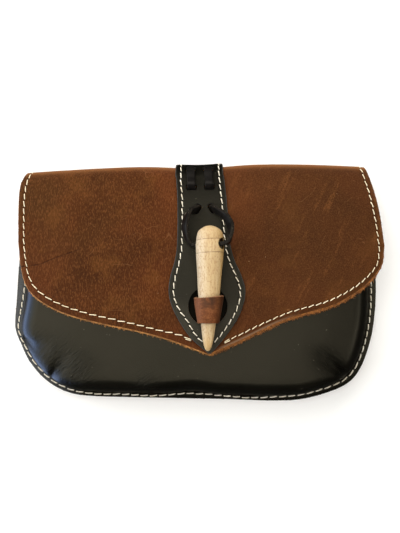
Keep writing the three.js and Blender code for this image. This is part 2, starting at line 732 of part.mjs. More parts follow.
function toggleLace() {
  const route = laceRoute();
  const curve = new THREE.CatmullRomCurve3(route.map(({ point }) => point), false, 'centripetal');
  const steps = (route.length - 1) * LACE_STEPS;
  const grid = [];
  for (let k = 0; k <= steps; k += 1) {
    const share = k / steps;
    const from = Math.min(Math.floor(k / LACE_STEPS), route.length - 2);
    const point = curve.getPoint(share);
    const way = curve.getTangent(share);
    const wide = route[from].wide.clone().lerp(route[from + 1].wide, k / LACE_STEPS - from);
    wide.addScaledVector(way, -wide.dot(way)).normalize().multiplyScalar(LACE.width / 2);
    grid.push([point.clone().sub(wide), point.clone().add(wide)]);
  }
  return wallAlong(grid, LACE.thickness);
}

// The belt loop: a strip whose middle runs flat, then up a ramp to a sewn margin at each end
function beltLoop() {
  const marginZ = BACK_Z - LEATHER - GAP;
  const flatZ = LEATHER / 2;
  const flatTop = BELT_LOOP.top - BELT_LOOP.margin - BELT_LOOP.ramp;
  const flatBottom = BELT_LOOP.bottom + BELT_LOOP.margin + BELT_LOOP.ramp;
  const line = [[BELT_LOOP.top, marginZ]];
  for (let k = 0; k <= RAMP_STEPS; k += 1) {
    const share = k / RAMP_STEPS;
    line.push([flatTop + BELT_LOOP.ramp * (1 - share), blend(marginZ, flatZ, smoothStep(share))]);
  }
  for (let k = RAMP_STEPS; k >= 0; k -= 1) {
    const share = k / RAMP_STEPS;
    line.push([flatBottom - BELT_LOOP.ramp * (1 - share), blend(marginZ, flatZ, smoothStep(share))]);
  }
  line.push([BELT_LOOP.bottom, marginZ]);
  const sideOf = (sign) => line.map(([y, z], k) => {
    const [beforeY, beforeZ] = line[Math.max(k - 1, 0)];
    const [afterY, afterZ] = line[Math.min(k + 1, line.length - 1)];
    const run = new THREE.Vector2(afterY - beforeY, afterZ - beforeZ).normalize();
    return new THREE.Vector2(y - (sign * run.y * LEATHER) / 2, z + (sign * run.x * LEATHER) / 2);
  });
  const shape = new THREE.Shape([...sideOf(1), ...sideOf(-1).reverse()]);
  const strip = new THREE.ExtrudeGeometry(shape, { depth: BELT_LOOP.width, bevelEnabled: false });
  strip.translate(0, 0, -BELT_LOOP.width / 2);
  strip.rotateY(Math.PI / 2);
  strip.rotateX(Math.PI / 2);
  return strip;
}

// The assembly
function finish(colour, roughness) {
  return new THREE.MeshStandardMaterial({ color: colour, roughness, metalness: 0 });
}

const PIECES = [
  { name: 'back_flap', geometry: backFlap(), material: finish(0x643a1c, 0.62) },
  { name: 'front_panel', geometry: frontPanel(), material: finish(0x23221f, 0.38) },
  { name: 'tongue', geometry: tongue(), material: finish(0x262723, 0.55) },
  { name: 'toggle', geometry: toggle(), material: finish(0xdec496, 0.5), place: placeToggle },
  { name: 'toggle_lace', geometry: toggleLace(), material: finish(0x1b1a1d, 0.5) },
  { name: 'keeper_loop', geometry: keeperLoop(), material: finish(0x6e371e, 0.6) },
  { name: 'belt_loop', geometry: beltLoop(), material: finish(0x5c351b, 0.65) },
];

const beltBag = new THREE.Group();
for (const { name, geometry, material, place } of PIECES) {
  const mesh = new THREE.Mesh(geometry, material);
  mesh.name = name;
  place?.(mesh);
  beltBag.add(mesh);
}

export default beltBag;
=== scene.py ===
import math
from types import SimpleNamespace as Sizes

import bpy
import numpy as np
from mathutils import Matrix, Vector
from mathutils.kdtree import KDTree


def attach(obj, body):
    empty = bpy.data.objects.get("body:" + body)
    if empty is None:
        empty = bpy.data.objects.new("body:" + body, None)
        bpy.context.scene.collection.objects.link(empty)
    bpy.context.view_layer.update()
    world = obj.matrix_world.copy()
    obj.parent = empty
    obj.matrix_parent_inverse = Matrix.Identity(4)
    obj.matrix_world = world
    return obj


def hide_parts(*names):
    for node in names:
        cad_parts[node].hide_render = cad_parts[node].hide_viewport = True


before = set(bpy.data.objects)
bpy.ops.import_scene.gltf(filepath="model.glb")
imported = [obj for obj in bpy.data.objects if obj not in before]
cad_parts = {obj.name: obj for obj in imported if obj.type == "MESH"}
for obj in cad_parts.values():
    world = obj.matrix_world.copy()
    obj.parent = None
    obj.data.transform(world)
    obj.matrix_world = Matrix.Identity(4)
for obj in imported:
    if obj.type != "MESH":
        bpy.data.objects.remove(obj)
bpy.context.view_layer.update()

# Sizes are in millimetres, as in the part's source, and meshes are made in metres.
MM = 0.001
DOWN = (0.0, 0.0, -1.0)
random = np.random.default_rng(20)

# Leather, gaps and heights
LEATHER = 2.0
GAP = 0.3
BACK_Z = 8.0
FLANGE_Z = 10.3

# The fold over the top and the flap's height
FOLD_RADIUS = 7.0
FOLD_Z = BACK_Z + FOLD_RADIUS
FOLD_LEFT = -104.4
FOLD_RIGHT = 101.6
FOLD_TUCK = Sizes(left=3.0, right=2.2)
FOLD_CREST = Sizes(x=42, y=71.0)
FOLD_SAG = Sizes(left=5.4, right=1.8)
TONGUE_DIP = Sizes(x=1.0, depth=2.2, reach=23)
LEAN = math.radians(15)
FOLD_LENGTH = FOLD_RADIUS * (math.pi - LEAN)
FLAP_CURVE = 0.00079
SIDE_DROP = Sizes(depth=9, length=70, x=2, half_width=110, power=3)
RIPPLE_START = 20

# The flap's plan
TIP_X = 7.0
FLAP_EDGE_LEFT = [
    (-105.3, 24), (-104.2, 12.5), (-101.6, 0.8), (-95.6, -7.8), (-82, -16),
    (-63.6, -21.8), (-32.8, -28.3), (-13.9, -33.6), (TIP_X, -41.5),
]
FLAP_EDGE_RIGHT = [
    (TIP_X, -41.5), (23.4, -34.6), (50.9, -22), (79.6, -13.4), (98.4, -2.4), (108.4, 9.6), (109.9, 22),
]
FLAP_SIDE_LEFT = [(-105.5, 42), (-105.3, 53)]
FLAP_SIDE_RIGHT = [(107.4, 40), (104.6, 53)]
FLAP_CREASE = [(-104.7, 9.7), (-93.5, 10.9), (-83.0, 14.8), (-69.0, 19.8)]
NO_CREASE = 9
# The flap's raw rim at the sides, and how much more the lower edge has on the left and on the right
FLAP_RIM = {"skive": (0.3, 0.4, 1.1), "drop": (0.15, 0.2, 0.55), "fray": (0.06, 0.10, 0.20)}
FLAP_RIM_FADE = Sizes(left=0.12, right=0.08)

# The body's plan
BODY_OUTLINE = [
    (-104, 36), (-107.4, 13.5), (-109.1, -10), (-110, -26.5), (-106.6, -36.5), (-101.1, -47.8),
    (-91.4, -58.7), (-78.5, -65.9), (-62, -68.4), (-22, -69.4), (18, -70.2), (46, -71.1),
    (66, -69.6), (87.8, -62.3), (98, -52), (104.7, -33.3), (107.4, -13), (107.4, 6), (105.8, 34),
]
BACK_SIDE_SHARE = 0.17

# The front panel
MOUTH_Y = 38
MOUTH_INNER_HALF = 70
FLANGE = Sizes(low=3.2, left=6.0, right=4.5)
FLANGE_LEFT = Sizes(x=-70, inner=25, y=-42, rise=37)
FLANGE_RIGHT = Sizes(x=60, inner=30)
FLANGE_DROOP = Sizes(depth=1.8, reach=5.5, top=40, fade=60)
SEAM_WAVE = Sizes(x=-3, rise=1.6, reach=11, below=-40)
WALL_REACH = 10.5
WALL_FOOT = 2.6
WALL_SHOULDER = 2.0
CROWN_DROP = 2.53
PUCKERS = [
    Sizes(foot=(-106, -33.5), end=(-84, -41), depth=14, half_width=2.7),
    Sizes(foot=(-88, -58), end=(-72, -37), depth=6, half_width=3),
    Sizes(foot=(90.5, -57.5), end=(60, -33), depth=8, half_width=3.3),
]
PUCKER_PEAK = 0.2
PUCKER_SPREAD = Sizes(foot=0.65, end=2.2)
# Where the front panel is finely creased: x, y and reach
GATHERS = [(-84, -46, 15), (-95, -38, 11), (-70, -50, 12), (76, -46, 11), (-30, -60, 8)]
CREASE_NARROWED = 0.8
# Where a painted cool sheen along the left edge stands for the reflection of the cool light from the left,
# and where painted shade dulls the shine under the keeper hole
COOL_SHEEN_ZONE = Sizes(x=-62, fade=35, past_flange=1, soft=4)
HOLE_SHADE_PAST = 4

# The tongue: y, left edge, right edge
TONGUE_EDGES = np.array([
    (-40.3, 6.4, 7.6), (-31.3, -3.8, 15.5), (-20.5, -11.3, 23.2), (-11.5, -15.4, 26.8),
    (-4.5, -16.6, 27.6), (4, -15.5, 25.2), (12, -13.2, 21.6), (22, -11.8, 19.0),
    (46.5, -11.7, 17.2), (66, -13.0, 15.2),
])
TONGUE_TAIL_Y = 49
TONGUE_LIFT = LEATHER + GAP
KEEPER_HOLE = Sizes(x=6, y=-13, radius=11.3, depth=18)

# The toggle: along its axis from the head, radius
TOGGLE_PROFILE = np.array([
    (0.25, 1.9), (1.3, 4.3), (3.7, 6.9), (8, 7.8), (15, 8.0), (26.7, 7.0), (39.4, 6.1),
    (55.6, 4.3), (63.3, 3.3), (68.1, 2.4), (70.8, 1.3),
])
TOGGLE_LENGTH = 71.5
TOGGLE_HEAD = np.array((7.4, 33.2, 42.9))
TOGGLE_TILT = math.radians(5)
TOGGLE_TURN = math.radians(1.2)
CROSS_BORE = Sizes(along=10.6, radius=3.2, turn=math.radians(31))
TOGGLE_RINGS = (8.2, 15.9)
RING_DEPTH = 0.16
RING_REACH = 0.28

# The keeper loop
KEEPER_FOOT_Y = (-6.7, -19.7)
KEEPER_ARCH_Y = (-7.4, -22.2)
KEEPER_X = 6.4
KEEPER_LEATHER = 1.8
KEEPER_PLAY = (0.95, 0.2)
KEEPER_SKEW = 0.65
KEEPER_CORNER = 1.5
KEEPER_FOOT_GAP = 0.45

# The lace and its slots
LACE = Sizes(width=5.0, thickness=2.4)
SLOT = Sizes(length=6.4, width=4.0, depth=9)
# The stations of a half's two slots and its loop hole
SLOT_STATIONS = (-3.5, 6.5, 19.5)
LOOP_HOLE_TURN = math.radians(60)
LACE_SIDES = [
    Sizes(x=(-4.1, -3.5, -0.2), outward=-1),
    Sizes(x=(6.4, 7.1, 8.6), outward=1),
]
# Across from slot to slot, station down the flap, height over the skin
LACE_THREADING = [
    (0, -3.9, -5.2), (0, -3.9, -1), (0, -3.8, 2.8), (0.1, -2.2, 4.9), (0.5, 1.5, 4.8),
    (0.9, 5.2, 4.9), (1, 6.9, 2.8), (1, 6.9, -0.6), (1.05, 7.6, -2.9), (1.4, 12, -3.6),
    (1.8, 16.8, -4.3), (2, 19.3, -2.0), (2, 19.5, 1), (2, 19.5, 3.4),
]
# Place, and the way that the thong's broad side runs
LACE_LOOP_LEFT = [
    ((-1.6, 42.8, 33.8), (0.5, 0.85, 0.1)), ((-4.6, 41.4, 36.2), (0.5, 0.6, 0.6)),
    ((-6.7, 36.4, 38.0), (0.62, 0.2, 0.76)), ((-6.8, 30.5, 38.6), (0.6, 0, 0.8)),
    ((-5.4, 25.2, 38.4), (0.4, 0.1, 0.9)), ((-2.9, 22.4, 37.8), (-0.1, 0.15, 0.98)),
]
LACE_LOOP_RIGHT = [
    ((17.4, 23.8, 49.4), (-0.35, 0, 0.93)), ((19.0, 28.2, 48.0), (0.15, 0, 0.98)),
    ((18.7, 33.4, 45.0), (0.6, 0, 0.8)), ((16.2, 38.4, 41.0), (0.45, 0.5, 0.74)),
    ((12.6, 41.4, 37.0), (-0.1, 0.8, 0.6)), ((10.0, 43.0, 33.8), (-0.45, 0.85, 0.1)),
]
LACE_BORE_OFFSETS = (-9, 0, 9)

# The belt loop
BELT_LOOP = Sizes(width=90, top=43, bottom=-39, margin=10, ramp=9)

# Sewing: stitch pitch, thread and the insets of the seams
PITCH = 4.4
LONG_PITCH = 5.6
THREAD_RADIUS = Sizes(flap=0.26, tongue=0.29, body=0.36)
FLAP_SEAM_SIDE = 3.5
FLAP_SEAM_LOW = 4.3
FLAP_SEAM_CLOSING = 0.8
FLAP_SEAM_BOW = Sizes(x=-10, reach=9, deeper=1.5)
FLAP_SEAM_STOP = Sizes(left=0.4, right=1.2)
LONG_ON_FLAP = Sizes(below=8, fade=12)
LONG_ON_BODY = Sizes(below=-30, fade=20)
BODY_SEAM_TOP = 52
BODY_SLANT = 0.22
BACK_STITCHED = 4.6
BACK_STITCH_ASIDE = 0.8
TONGUE_SEAM = 2.8
TONGUE_SEAM_TIP = 4.2
TONGUE_SEAM_LEFT = Sizes(y=-24, reach=6, deeper=1.3)
BELT_SEAM_ROWS = (2.8, 7.2)
BELT_SEAM_INSET = 3.2
# The body's seam: inset by y up the left side, by x along the bottom and up the right side
BODY_SEAM_CORNER = (-70, -58)
BODY_SEAM_LEFT = np.array([
    (-58, 2.5), (-45, 2.5), (-34.5, 1.9), (-26.7, 2.2), (-16.4, 3.6), (0, 4.9), (60, 4.9),
])
BODY_SEAM_LOW = np.array([
    (-78, 2.5), (-59, 1.8), (-45, 2.2), (-31, 1.5), (-20, 2.0), (-8, 3.4), (3, 3.3), (15, 2.5),
    (30, 1.7), (42, 2.4), (57, 3.0), (75, 3.3), (90, 3.3),
])

# A stitch: its mesh, how deep its ends are, its rise, its gap from the hole, its ends and its twist
STITCH = Sizes(
    rings=13, sides=10, sunk=-0.55, rise=0.8, from_hole=0.06, ends=0.8, turns=1.3,
    ply=0.11, flat=0.86, jitter=0.06,
)
SEAM_STEP = 0.3
SEAM_SIGHT = Sizes(off=9, far=30)
NEEDLE_HOLE = Sizes(long=0.62, wide=0.42)

# Loose fibres on the flap's raw edge: how many and between which shares of the edge, and their form
FIBRES = Sizes(
    left=(110, 0.2, 0.99), right=(260, 0.01, 0.86), sides=5, rings=4, length=(0.3, 1.2),
    rooted=0.9, radius=0.17, taper=0.6, lean=0.6, tilt=0.3, level=(-0.8, 0.35), bend=0.25,
)

# How fine the meshes are
FLAP_MESH = Sizes(across=191, front=76, fold=19, back=40)
PANEL_MESH = Sizes(rays=400, flange=(0, 0.1, 0.25, 0.45, 0.65, 0.85), wall=34, crown=30)
TONGUE_MESH = Sizes(across=33, front=110, fold=22, tail=16)
TOGGLE_MESH = Sizes(sides=72, step=0.3, bore_sides=40)
KEEPER_MESH = Sizes(rows=22, around=150, arch=30, leg=8)
LACE_MESH = Sizes(sides=24, per_span=12)
BELT_MESH = Sizes(along=120, across=60)

# The camera over the bag
CAMERA = Sizes(x=1.5, y=9.8, z=630, lens=69.39)


# Small helpers for curves and tables

def smooth_step(share):
    held = np.clip(share, 0, 1)
    return held * held * (3 - 2 * held)


def unit(vectors):
    return vectors / np.maximum(np.linalg.norm(vectors, axis=-1, keepdims=True), 1e-12)


def blend(first, second, share):
    return first + (second - first) * share


def bell(offset, reach):
    """One where there is no offset, and next to nothing two reaches away."""
    return np.exp(-((offset / reach) ** 2))


def run_along(points):
    """How far along a line of points each of them lies."""
    steps = np.linalg.norm(np.diff(points, axis=0), axis=1)
    return np.concatenate([[0], np.cumsum(steps)])


def evenly(count, **settings):
    """Shares evenly from 0 to 1."""
    return np.linspace(0, 1, count, **settings)


def around(sides):
    """Angles evenly round a circle."""
    return 2 * math.pi * evenly(sides, endpoint=False)


def in_plan(points):
    """Points laid flat at height zero."""
    return np.column_stack([points[:, :2], np.zeros(len(points))])


def nearest_on(line, points):
    """For each point the number of the nearest point on a line, and the distance to it."""
    tree = KDTree(len(line))
    for number, place in enumerate(line):
        tree.insert(place, number)
    tree.balance()
    found = [tree.find(point) for point in points]
    return np.array([hit[1] for hit in found]), np.array([hit[2] for hit in found])


class Curve:
    """A smooth curve through a few points, read by the share of its length."""

    def __init__(self, points, per_span=40):
        points = np.asarray(points, float)
        padded = np.vstack([points[:1], points, points[-1:]])
        before, start, end, after = padded[:-3], padded[1:-2], padded[2:-1], padded[3:]
        t = evenly(per_span, endpoint=False)[None, :, None]
        leave = ((end - before) / 2)[:, None]
        arrive = ((after - start) / 2)[:, None]
        start, end = start[:, None], end[:, None]
        spans = ((2 * start - 2 * end + leave + arrive) * t ** 3
                 + (3 * end - 3 * start - 2 * leave - arrive) * t ** 2 + leave * t + start)
        self.points = np.vstack([spans.reshape(-1, points.shape[1]), points[-1:]])
        self.run = run_along(self.points)

    def at(self, share):
        where = np.asarray(share) * self.run[-1]
        columns = [np.interp(where, self.run, column) for column in self.points.T]
        return np.stack(columns, axis=-1)

    def share_at_y(self, y, low, high):
        shares = np.linspace(low, high, 2000)
        return shares[np.argmin(np.abs(self.at(shares)[:, 1] - y))]


def read_table(table, position, column):
    """A value read from a table's column by a smooth curve through its rows."""
    keys, values = table[:, 0], table[:, column]
    slopes = np.empty(len(keys))
    slopes[1:-1] = (values[2:] - values[:-2]) / (keys[2:] - keys[:-2])
    slopes[0] = (values[1] - values[0]) / (keys[1] - keys[0])
    slopes[-1] = (values[-1] - values[-2]) / (keys[-1] - keys[-2])
    row = np.clip(np.searchsorted(keys, position, side="left") - 1, 0, len(keys) - 2)
    span = keys[row + 1] - keys[row]
    share = (position - keys[row]) / span
    rest = 1 - share
    eased = share * share * (3 - 2 * share)
    return (blend(values[row], values[row + 1], eased)
            + span * share * rest * (slopes[row] * rest - slopes[row + 1] * share))


def patch(low, high, left, right, u, v):
    """Plan points of a patch between four edges that meet at its corners, rows by v."""
    u = u[None, :, None]
    v = v[:, None, None]
    rows = low[None] * (1 - v) + high[None] * v
    columns = left[:, None] * (1 - u) + right[:, None] * u
    low_corners = low[0] * (1 - u) + low[-1] * u
    high_corners = high[0] * (1 - u) + high[-1] * u
    return rows + columns - (low_corners * (1 - v) + high_corners * v)


def crowded_ends(count, extra):
    """Shares from 0 to 1, evenly spread, with extra shares close to both ends."""
    extra = np.asarray(extra)
    return np.unique(np.concatenate([evenly(count), extra, 1 - extra]).round(6))


# The bag's skin: the middle of the flap's leather, as in the part's source

def ripple(x, y):
    """The leather's slight unevenness."""
    return (0.22 * np.sin(x / 13.1 + 1.2 * np.sin(y / 21.0) + 0.6) * np.sin(y / 17.3 + x / 61.0)
            + 0.14 * np.sin(x / 7.9 - y / 11.7 + 2.0) * np.sin(y / 9.1 + x / 19.0 + 1.1))


def fold_edge_y(x):
    left = np.maximum(FOLD_CREST.x - x, 0) / (FOLD_CREST.x - FOLD_LEFT)
    right = np.maximum(x - FOLD_CREST.x, 0) / (FOLD_RIGHT - FOLD_CREST.x)
    sag = FOLD_SAG.left * left ** 2 + FOLD_SAG.right * right ** 2
    dip = TONGUE_DIP.depth * bell(x - TONGUE_DIP.x, TONGUE_DIP.reach)
    return FOLD_CREST.y - sag - dip


def fold_centre_y(x):
    return fold_edge_y(x) - FOLD_RADIUS - LEATHER / 2


def tangent_y(x):
    return fold_centre_y(x) + FOLD_RADIUS * math.sin(LEAN)


def flap_height(x, y):
    down = np.maximum(tangent_y(x) - y, 0)
    rise = math.tan(LEAN) * down - FLAP_CURVE * down ** 2
    aside = np.abs(x - SIDE_DROP.x) / SIDE_DROP.half_width
    drop = SIDE_DROP.depth * smooth_step(down / SIDE_DROP.length) * aside ** SIDE_DROP.power
    uneven = ripple(x, y) * smooth_step(down / RIPPLE_START)
    return FOLD_Z + FOLD_RADIUS * math.cos(LEAN) + rise - drop + uneven


def skin_point(x, station):
    """Down the front from the fold's tangent; below zero back over the fold and down the back."""
    x, station = np.broadcast_arrays(np.asarray(x, float), np.asarray(station, float))
    front_y = tangent_y(x) - station
    angle = LEAN - station / FOLD_RADIUS
    round_y = fold_centre_y(x) + FOLD_RADIUS * np.sin(angle)
    round_z = FOLD_Z + FOLD_RADIUS * np.cos(angle)
    back_y = fold_centre_y(x) - (angle - math.pi) * FOLD_RADIUS
    on_front = station >= 0
    on_fold = angle <= math.pi
    y = np.where(on_front, front_y, np.where(on_fold, round_y, back_y))
    z = np.where(on_front, flap_height(x, front_y), np.where(on_fold, round_z, BACK_Z))
    return np.stack([x, y, z], axis=-1)


def skin_normal(x, station, step=0.05):
    across = skin_point(x + step, station) - skin_point(x - step, station)
    along = skin_point(x, station - step) - skin_point(x, station + step)
    return unit(np.cross(across, along))


def above_skin(x, station, height):
    height = np.asarray(height, float)[..., None]
    return skin_point(x, station) + skin_normal(x, station) * height


BODY = Curve([
    (FOLD_LEFT, fold_centre_y(FOLD_LEFT)), *BODY_OUTLINE, (FOLD_RIGHT, fold_centre_y(FOLD_RIGHT)),
])
BODY_LINE = BODY.at(evenly(400))


def inside_outline(x, y):
    """How far inside the body's outline each plan point lies."""
    nearest = np.full(np.shape(x), np.inf)
    points = np.stack([x, y], axis=-1)
    for start, end in zip(BODY_LINE[:-1], BODY_LINE[1:]):
        run = end - start
        offset = points - start
        share = np.clip(offset @ run / (run @ run), 0, 1)
        distance = np.linalg.norm(offset - share[..., None] * run, axis=-1)
        nearest = np.minimum(nearest, distance)
    return nearest


def wall_profile(t):
    """The wall's way in from the flange, and its share of the rise to the crown."""
    across = 3 * (1 - t) ** 2 * t * WALL_FOOT + 3 * (1 - t) * t ** 2 * WALL_SHOULDER + t ** 3 * WALL_REACH
    rise = 3 * (1 - t) * t ** 2 + t ** 3
    return across, rise


WALL_ACROSS, WALL_RISE = wall_profile(evenly(400))


def flange_width(x, y):
    above_low = smooth_step((y - FLANGE_LEFT.y) / FLANGE_LEFT.rise)
    left = above_low * smooth_step((FLANGE_LEFT.x - x) / FLANGE_LEFT.inner)
    right = smooth_step((x - FLANGE_RIGHT.x) / FLANGE_RIGHT.inner)
    wave = SEAM_WAVE.rise * bell(x - SEAM_WAVE.x, SEAM_WAVE.reach)
    waving = np.where(y < SEAM_WAVE.below, wave, 0)
    wider = (FLANGE.left - FLANGE.low) * left + (FLANGE.right - FLANGE.low) * right
    return FLANGE.low + wider + waving


def pucker_depth(x, y, narrowed=1.0):
    """How far the puckers draw the crown in, deepest near each foot."""
    depth = np.zeros(np.shape(x))
    for pucker in PUCKERS:
        foot = np.array(pucker.foot, float)
        way = np.array(pucker.end, float) - foot
        length = np.linalg.norm(way)
        way /= length
        along = np.clip(((x - foot[0]) * way[0] + (y - foot[1]) * way[1]) / length, 0, 1)
        aside = (x - foot[0]) * way[1] - (y - foot[1]) * way[0]
        run = along / PUCKER_PEAK * np.exp(1 - along / PUCKER_PEAK) * (1 - along)
        spread = blend(PUCKER_SPREAD.foot, PUCKER_SPREAD.end, along)
        depth = depth + pucker.depth * run * bell(aside, pucker.half_width * spread * narrowed)
    return depth


def edge_droop(x, y):
    """How far the sewn edge droops, most at the outline and less towards the fold."""
    outer = np.maximum(1 - inside_outline(x, y) / FLANGE_DROOP.reach, 0)
    fade = smooth_step((FLANGE_DROOP.top - y) / FLANGE_DROOP.fade)
    return FLANGE_DROOP.depth * outer * fade


def back_height(x, y):
    return BACK_Z - edge_droop(x, y)


def panel_height(x, y):
    rise = np.interp(inside_outline(x, y) - flange_width(x, y), WALL_ACROSS, WALL_RISE)
    crown = flap_height(x, y) - CROWN_DROP
    return FLANGE_Z - edge_droop(x, y) + (crown - FLANGE_Z - pucker_depth(x, y)) * rise


# Meshes

def make_piece(name, vertices, faces, materials, face_materials=None, sharp=40):
    mesh = bpy.data.meshes.new(name)
    mesh.from_pydata((np.asarray(vertices) * MM).tolist(), [], faces)
    for material in materials:
        mesh.materials.append(material)
    if face_materials is not None:
        mesh.polygons.foreach_set("material_index", np.asarray(face_materials, np.int32))
    mesh.polygons.foreach_set("use_smooth", np.ones(len(mesh.polygons), bool))
    mesh.set_sharp_from_angle(angle=math.radians(sharp))
    mesh.update()
    piece = bpy.data.objects.new(name, mesh)
    bpy.context.scene.collection.objects.link(piece)
    return piece


def grid_normals(grid, closed):
    if closed:
        across = np.roll(grid, -1, axis=1) - np.roll(grid, 1, axis=1)
    else:
        across = np.gradient(grid, axis=1)
    along = np.gradient(grid, axis=0)
    return unit(np.cross(across, along))


def grid_quads(rows, columns, closed, start, flip):
    i, j = np.meshgrid(np.arange(rows - 1), np.arange(columns if closed else columns - 1), indexing="ij")
    after = (j + 1) % columns
    corners = [i * columns + j, i * columns + after, (i + 1) * columns + after, (i + 1) * columns + j]
    if flip:
        corners.reverse()
    return (np.stack(corners, axis=-1).reshape(-1, 4) + start).tolist()


def border_loops(rows, columns, closed):
    """The grid's border as rings of indices, counter-clockwise seen along its normals."""
    if closed:
        first = np.arange(columns)
        return [first, ((rows - 1) * columns + first)[::-1]]
    low = np.arange(columns)
    right = np.arange(1, rows) * columns + columns - 1
    high = (rows - 1) * columns + np.arange(columns - 2, -1, -1)
    left = np.arange(rows - 2, 0, -1) * columns
    return [np.concatenate([low, right, high, left])]


def tube_faces(rings, sides, start, flip):
    """The faces of a tube of rings, with its two ends."""
    first = [start + k for k in range(sides)]
    last = [start + (rings - 1) * sides + k for k in range(sides)]
    ends = [first, last[::-1]] if flip else [first[::-1], last]
    return grid_quads(rings, sides, True, start, flip) + ends


def joined_tubes(name, tubes, material):
    """One piece of many closed tubes of the same mesh, each a grid of rings of points."""
    rings, sides = tubes[0].shape[:2]
    faces = []
    for number in range(len(tubes)):
        faces += tube_faces(rings, sides, number * rings * sides, True)
    return make_piece(name, np.concatenate(tubes).reshape(-1, 3), faces, [material])


RIM_SHARES = (0.12, 0.34, 0.62, 0.86)
RIM_BULGE = 0.16
SKIVE_REACH = 6.0
DROP_REACH = 3.2
LEATHER_SHARP = 50


def leather_sheet(name, grid, thickness, materials, closed=False, skive=0.25, drop=0.12, fray=0.06):
    """A closed sheet around a grid of middle points: grain side, flesh side and a raw rim.

    skive is how far the grain side stays back from the flesh side's edge, drop is how much thinner
    the sheet gets there, and fray is how rough the rim is; all may differ along the border.
    """
    rows, columns = grid.shape[:2]
    normals = grid_normals(grid, closed).reshape(-1, 3)
    middle = grid.reshape(-1, 3)
    top = middle + normals * thickness / 2
    bottom = middle - normals * thickness / 2
    loops = border_loops(rows, columns, closed)
    outward = np.zeros_like(middle)
    for loop in loops:
        ring = middle[loop]
        way = unit(np.roll(ring, -1, axis=0) - np.roll(ring, 1, axis=0))
        outward[loop] = unit(np.cross(way, normals[loop]))
    border = np.concatenate(loops)
    nearest, distance = nearest_on(middle[border], middle)
    back = np.broadcast_to(skive, border.shape)[nearest] * np.clip(1 - distance / SKIVE_REACH, 0, 1)
    thin = np.broadcast_to(drop, border.shape)[nearest] * (1 - smooth_step(distance / DROP_REACH))
    top -= outward[border[nearest]] * back[:, None] + normals * thin[:, None]
    vertices = [top, bottom]
    faces = grid_quads(rows, columns, closed, 0, False)
    kinds = [0] * len(faces)
    faces += grid_quads(rows, columns, closed, len(top), True)
    kinds += [1] * (len(faces) - len(kinds))
    count = 2 * len(top)
    for loop in loops:
        upper, lower = top[loop], bottom[loop]
        rings = [loop]
        for share in RIM_SHARES:
            rough = RIM_BULGE * math.sin(math.pi * share) + fray * random.standard_normal(len(loop))
            ring = upper + (lower - upper) * share + outward[loop] * rough[:, None]
            vertices.append(ring)
            rings.append(count + np.arange(len(loop)))
            count += len(loop)
        rings.append(loop + len(top))
        for above, below in zip(rings[:-1], rings[1:]):
            quads = np.stack([above, below, np.roll(below, -1), np.roll(above, -1)], axis=-1)
            faces += quads.tolist()
    kinds += [2] * (len(faces) - len(kinds))
    return make_piece(name, np.vstack(vertices), faces, materials, kinds, sharp=LEATHER_SHARP)


def prism(outline, low, high):
    """A closed prism over an outline of (x, y) points, counter-clockwise."""
    count = len(outline)
    vertices = [(x, y, low) for x, y in outline] + [(x, y, high) for x, y in outline]
    faces = [list(range(count))[::-1], list(range(count, 2 * count))]
    for k in range(count):
        after = (k + 1) % count
        faces.append([k, after, count + after, count + k])
    return np.array(vertices), faces


def circle(radius, sides):
    angles = around(sides)
    return np.stack([radius * np.cos(angles), radius * np.sin(angles)], axis=-1)


def slot_outline(length, width, turn, corner_sides=6):
    """A rounded slot, turned about its middle."""
    radius = width * 0.35
    points = []
    for k, (sx, sy) in enumerate([(1, 1), (-1, 1), (-1, -1), (1, -1)]):
        for step in range(corner_sides + 1):
            angle = math.pi / 2 * (k + step / corner_sides)
            points.append((
                sx * (length / 2 - radius) + radius * math.cos(angle),
                sy * (width / 2 - radius) + radius * math.sin(angle),
            ))
    points = np.array(points)
    cosine, sine = math.cos(turn), math.sin(turn)
    return points @ np.array([[cosine, sine], [-sine, cosine]])


def turned_to(vertices, normal, place):
    rotation = Vector((0, 0, 1)).rotation_difference(Vector(normal)).to_matrix()
    return vertices @ np.array(rotation).T + place


def cut_away(piece, cutters, material):
    """Cuts closed shapes out of a piece; the cut faces take the material."""
    vertices, faces, count = [], [], 0
    for points, polygons in cutters:
        vertices.append(points)
        faces += [[index + count for index in polygon] for polygon in polygons]
        count += len(points)
    cutter = make_piece("cutter", np.vstack(vertices), faces, [material])
    cut = piece.modifiers.new("cut", "BOOLEAN")
    cut.operation = "DIFFERENCE"
    cut.solver = "EXACT"
    cut.material_mode = "TRANSFER"
    cut.object = cutter
    evaluated = piece.evaluated_get(bpy.context.evaluated_depsgraph_get())
    mesh = bpy.data.meshes.new_from_object(evaluated)
    piece.modifiers.clear()
    piece.data = mesh
    mesh.set_sharp_from_angle(angle=math.radians(LEATHER_SHARP))
    bpy.data.objects.remove(cutter)


def mesh_points(piece):
    points = np.empty(len(piece.data.vertices) * 3)
    piece.data.vertices.foreach_get("co", points)
    return points.reshape(-1, 3) / MM


def set_values(piece, name, values):
    attribute = piece.data.attributes.new(name, "FLOAT", "POINT")
    attribute.data.foreach_set("value", np.asarray(values, np.float32))


# Seams: lines over the leather, and the thread in them

